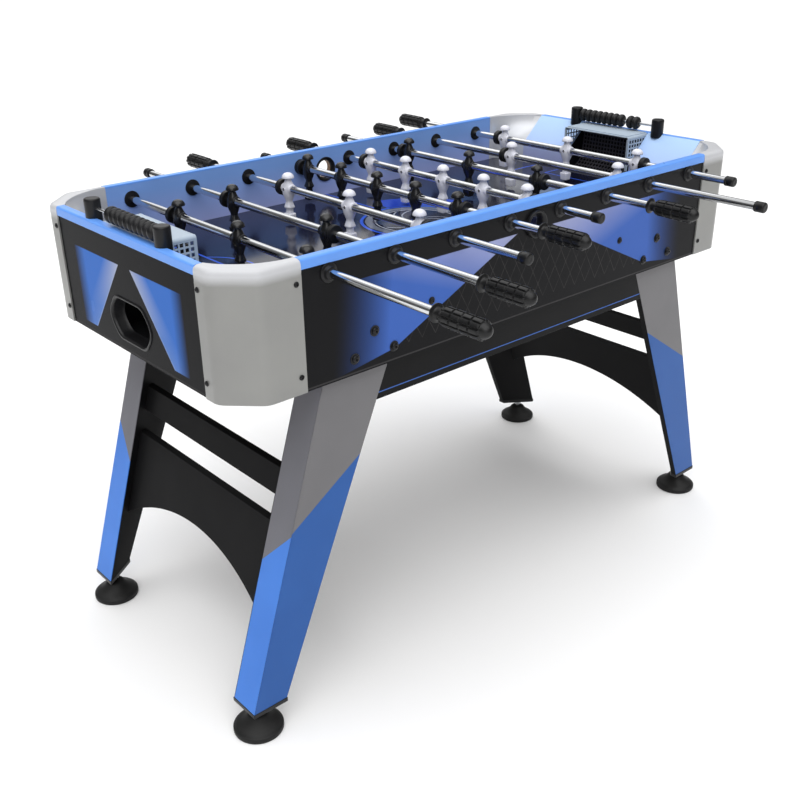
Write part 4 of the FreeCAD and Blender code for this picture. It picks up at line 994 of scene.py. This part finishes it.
# ================================================================ ball returns and ball entries
def hex_ring(d, x, n=8):
    """Rounded hexagonal outline at x, grown by d."""
    w, r = 72.0 + d, 39.0 + d
    zc = 760.0
    pts = [(-w, zc - 0.25 * r), (-0.66 * w, zc - r), (0.66 * w, zc - r), (w, zc - 0.25 * r),
           (w, zc + 0.25 * r), (0.66 * w, zc + r), (-0.66 * w, zc + r), (-w, zc + 0.25 * r)]
    out = []
    m = len(pts)
    for i in range(m):
        a, b, c = Vector(pts[i - 1]), Vector(pts[i]), Vector(pts[(i + 1) % m])
        s, e = b + (a - b).normalized() * 14.0, b + (c - b).normalized() * 14.0
        for k in range(n + 1):
            t = k / n
            q = s * (1 - t) ** 2 + b * 2 * t * (1 - t) + e * t * t
            out.append((x, q.x, q.y))
    return out


p = Piece()
for sx in (-1, 1):
    rings = [hex_ring(d, sx * x) for d, x in ((4.0, 697.8), (4.0, 699.2), (3.2, 700.0), (1.6, 700.3), (0.0, 699.8), (-1.6, 698.0), (-2.4, 694.0), (-3.0, 682.0), (-6.0, 676.0))]
    p.add(loft(rings, False, False))
    for quad in (
        [(604, -96, 722.5), (680, -96, 721.0), (680, 96, 721.0), (604, 96, 722.5)],
        [(604, -96, 722), (604, 96, 722), (604, 96, 803), (604, -96, 803)],
        [(604, -96, 722), (680, -96, 720.5), (680, -96, 803), (604, -96, 803)],
        [(604, 96, 722), (680, 96, 720.5), (680, 96, 803), (604, 96, 803)],
    ):
        p.add(([(sx * a, b, c) for a, b, c in quad], [(0, 1, 2, 3)]))
for sy in (-1, 1):
    dish = [(21.9, 0.2), (27.6, 0.2), (28.4, -0.8), (28.4, -2.2), (27.2, -2.9), (25.0, -2.6), (22.4, -1.2), (20.4, 1.5), (19.6, 6.0), (19.4, 16.0)]
    p.add(rev(dish, 56), 0, along_y(0, sy * 324.0, 876.0, sy))
    # the near bore takes the black plastic as painted shade inside the hole; the far bore keeps the tan board colour
    p.add(rev([(19.5, 6.0), (19.4, 15.0), (19.4, 16.5)], 48), 1 if sy > 0 else 0, along_y(0, sy * 324.0, 876.0, sy))
    cup = [(19.4, 16.0), (26.6, 16.0), (27.4, 17.0), (27.4, 21.6), (26.6, 23.4), (25.0, 23.8), (23.2, 23.0), (21.0, 20.0), (19.5, 17.0)]
    p.add(rev(cup, 56), 0, along_y(0, sy * 324.0, 876.0, sy))
p.make("ball_holes", "cabinet", ["black_plastic", "tunnel"], "black_plastic", ["ball_cups"])

# ================================================================ scorers
p = Piece()
for sx in (-1, 1):
    for sy in (-1, 1):
        p.add(rev([(0, 918.3), (13.4, 918.3), (14.6, 918.9), (15.0, 920.2), (15.0, 957.0), (14.8, 959.4), (14.0, 961.0), (12.6, 961.8), (10.0, 962.0), (0, 962.0)], 48), 0, T(sx * 681.4, sy * 126.0, 0))
    p.add(rev([(3.0, 0.0), (3.0, 250.0)], 24), 1, along_y(sx * 681.4, -125.0, 945.0))
p.make("scorer_posts", "cabinet", ["black_plastic", "steel"], "black_plastic", ["scorer_stands"])

bead = [(3.05, 0.0), (7.6, 0.0), (9.4, 0.4), (10.6, 1.4), (12.6, 2.6), (14.2, 4.2), (15.2, 6.2), (15.5, 8.4), (15.2, 10.6), (14.2, 12.6), (12.6, 14.2), (10.6, 15.4), (9.4, 16.4), (7.6, 16.8), (3.05, 16.8)]
BEAD = rev(bead, 40)
for nm, sx, y0, count, body in (("left", -1, -110.6, 10, "left_score"), ("right_eight", 1, 111.0 - 136.0 - 0.3, 8, "right_score_eight"), ("right_pair", 1, -71.0, 2, "right_score_pair")):
    p = Piece()
    for k in range(count):
        p.add(BEAD, 0, along_y(sx * 681.4, y0 + 17.0 * k, 945.0))
    p.make("beads_" + nm, body, ["black_plastic"], "black_plastic", ["scorer_beads_" + nm])

# ================================================================ carried-over nodes
for nm, m in (("side_panel_front", "side_panel"), ("side_panel_rear", "side_panel"), ("end_panel_left", "end_panel"), ("end_panel_right", "end_panel"),
              ("playfield", "field"), ("playfield_supports", "raw_board"), ("sloped_end_walls", "end_wall")):
    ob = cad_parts[nm]
    for k in range(max(1, len(ob.material_slots))):
        if len(ob.material_slots) == 0:
            ob.data.materials.append(M[m])
        else:
            ob.material_slots[k].material = M[m]

# ================================================================ floor, light, camera
me = bpy.data.meshes.new("floor")
me.from_pydata([(-30, -30, 0), (30, -30, 0), (30, 30, 0), (-30, 30, 0)], [], [(0, 1, 2, 3)])
g = G("floor_pale", 0.7, spec=0.2)
g.set("Base Color", g.mix(g.noise(0.4, 2.0).ramp(0.3, 0.7), (0.90, 0.90, 0.90), (0.92, 0.92, 0.92)))
me.materials.append(g.m)
floor = bpy.data.objects.new("floor", me)
bpy.context.scene.collection.objects.link(floor)


def area(name, loc, target, size, power):
    d = bpy.data.lights.new(name, "AREA")
    d.shape = "DISK"
    d.size = size
    d.energy = power
    o = bpy.data.objects.new(name, d)
    o.location = loc
    o.rotation_mode = "QUATERNION"
    o.rotation_quaternion = (Vector(target) - Vector(loc)).to_track_quat("-Z", "Y")
    bpy.context.scene.collection.objects.link(o)


area("key", (-3.4, -3.8, 3.4), (0, 0, 0.5), 4.5, 70)
area("back", (1.5, 3.6, 3.6), (0, 0, 0.8), 4.5, 50)
sun = bpy.data.lights.new("overhead", "SUN")
sun.energy = 2.0
sun.angle = radians(70.0)
so = bpy.data.objects.new("overhead", sun)
so.rotation_euler = (radians(12.0), radians(-8.0), 0.0)
bpy.context.scene.collection.objects.link(so)
# studio round the table: bright above, dim towards the horizon
w = bpy.data.worlds.new("studio")
w.use_nodes = True
t = w.node_tree
tc = t.nodes.new("ShaderNodeTexCoord")
sp = t.nodes.new("ShaderNodeSeparateXYZ")
t.links.new(tc.outputs["Generated"], sp.inputs[0])
cr = t.nodes.new("ShaderNodeValToRGB")
t.links.new(sp.outputs[2], cr.inputs[0])
stops = ((0.0, 0.10), (0.3, 0.14), (0.5, 0.22), (0.68, 0.95), (1.0, 1.05))
el = cr.color_ramp.elements
el[0].position, el[1].position = stops[0][0], stops[-1][0]
el[0].color = (stops[0][1],) * 3 + (1.0,)
el[1].color = (stops[-1][1],) * 3 + (1.0,)
for q, k in stops[1:-1]:
    e = el.new(q)
    e.color = (k, k, k * 1.01, 1.0)
bg = t.nodes["Background"]
t.links.new(cr.outputs[0], bg.inputs[0])
bg.inputs[1].default_value = 0.85
bpy.context.scene.world = w
bpy.context.scene.view_settings.view_transform = "Standard"

YAW, PITCH, ROLL = -0.717365, -0.461304, -0.013119
cam = bpy.data.cameras.new("photo")
cam.sensor_width = 36.0
cam.lens = 45.216
cam.shift_x = 0.000442
cam.shift_y = 0.021851
cam.clip_start, cam.clip_end = 0.05, 100.0
co = bpy.data.objects.new("photo", cam)
fwd = Vector((-sin(YAW) * cos(PITCH), cos(YAW) * cos(PITCH), sin(PITCH)))
right = Vector((cos(YAW), sin(YAW), 0.0))
up = right.cross(fwd)
r2 = right * cos(ROLL) + up * sin(ROLL)
u2 = up * cos(ROLL) - right * sin(ROLL)
rot = Matrix((r2, u2, -fwd)).transposed()
co.matrix_world = Matrix.Translation((-1.45375, -1.59969 + 0.034, 1.40852)) @ rot.to_4x4()
bpy.context.scene.collection.objects.link(co)
bpy.context.scene.camera = co
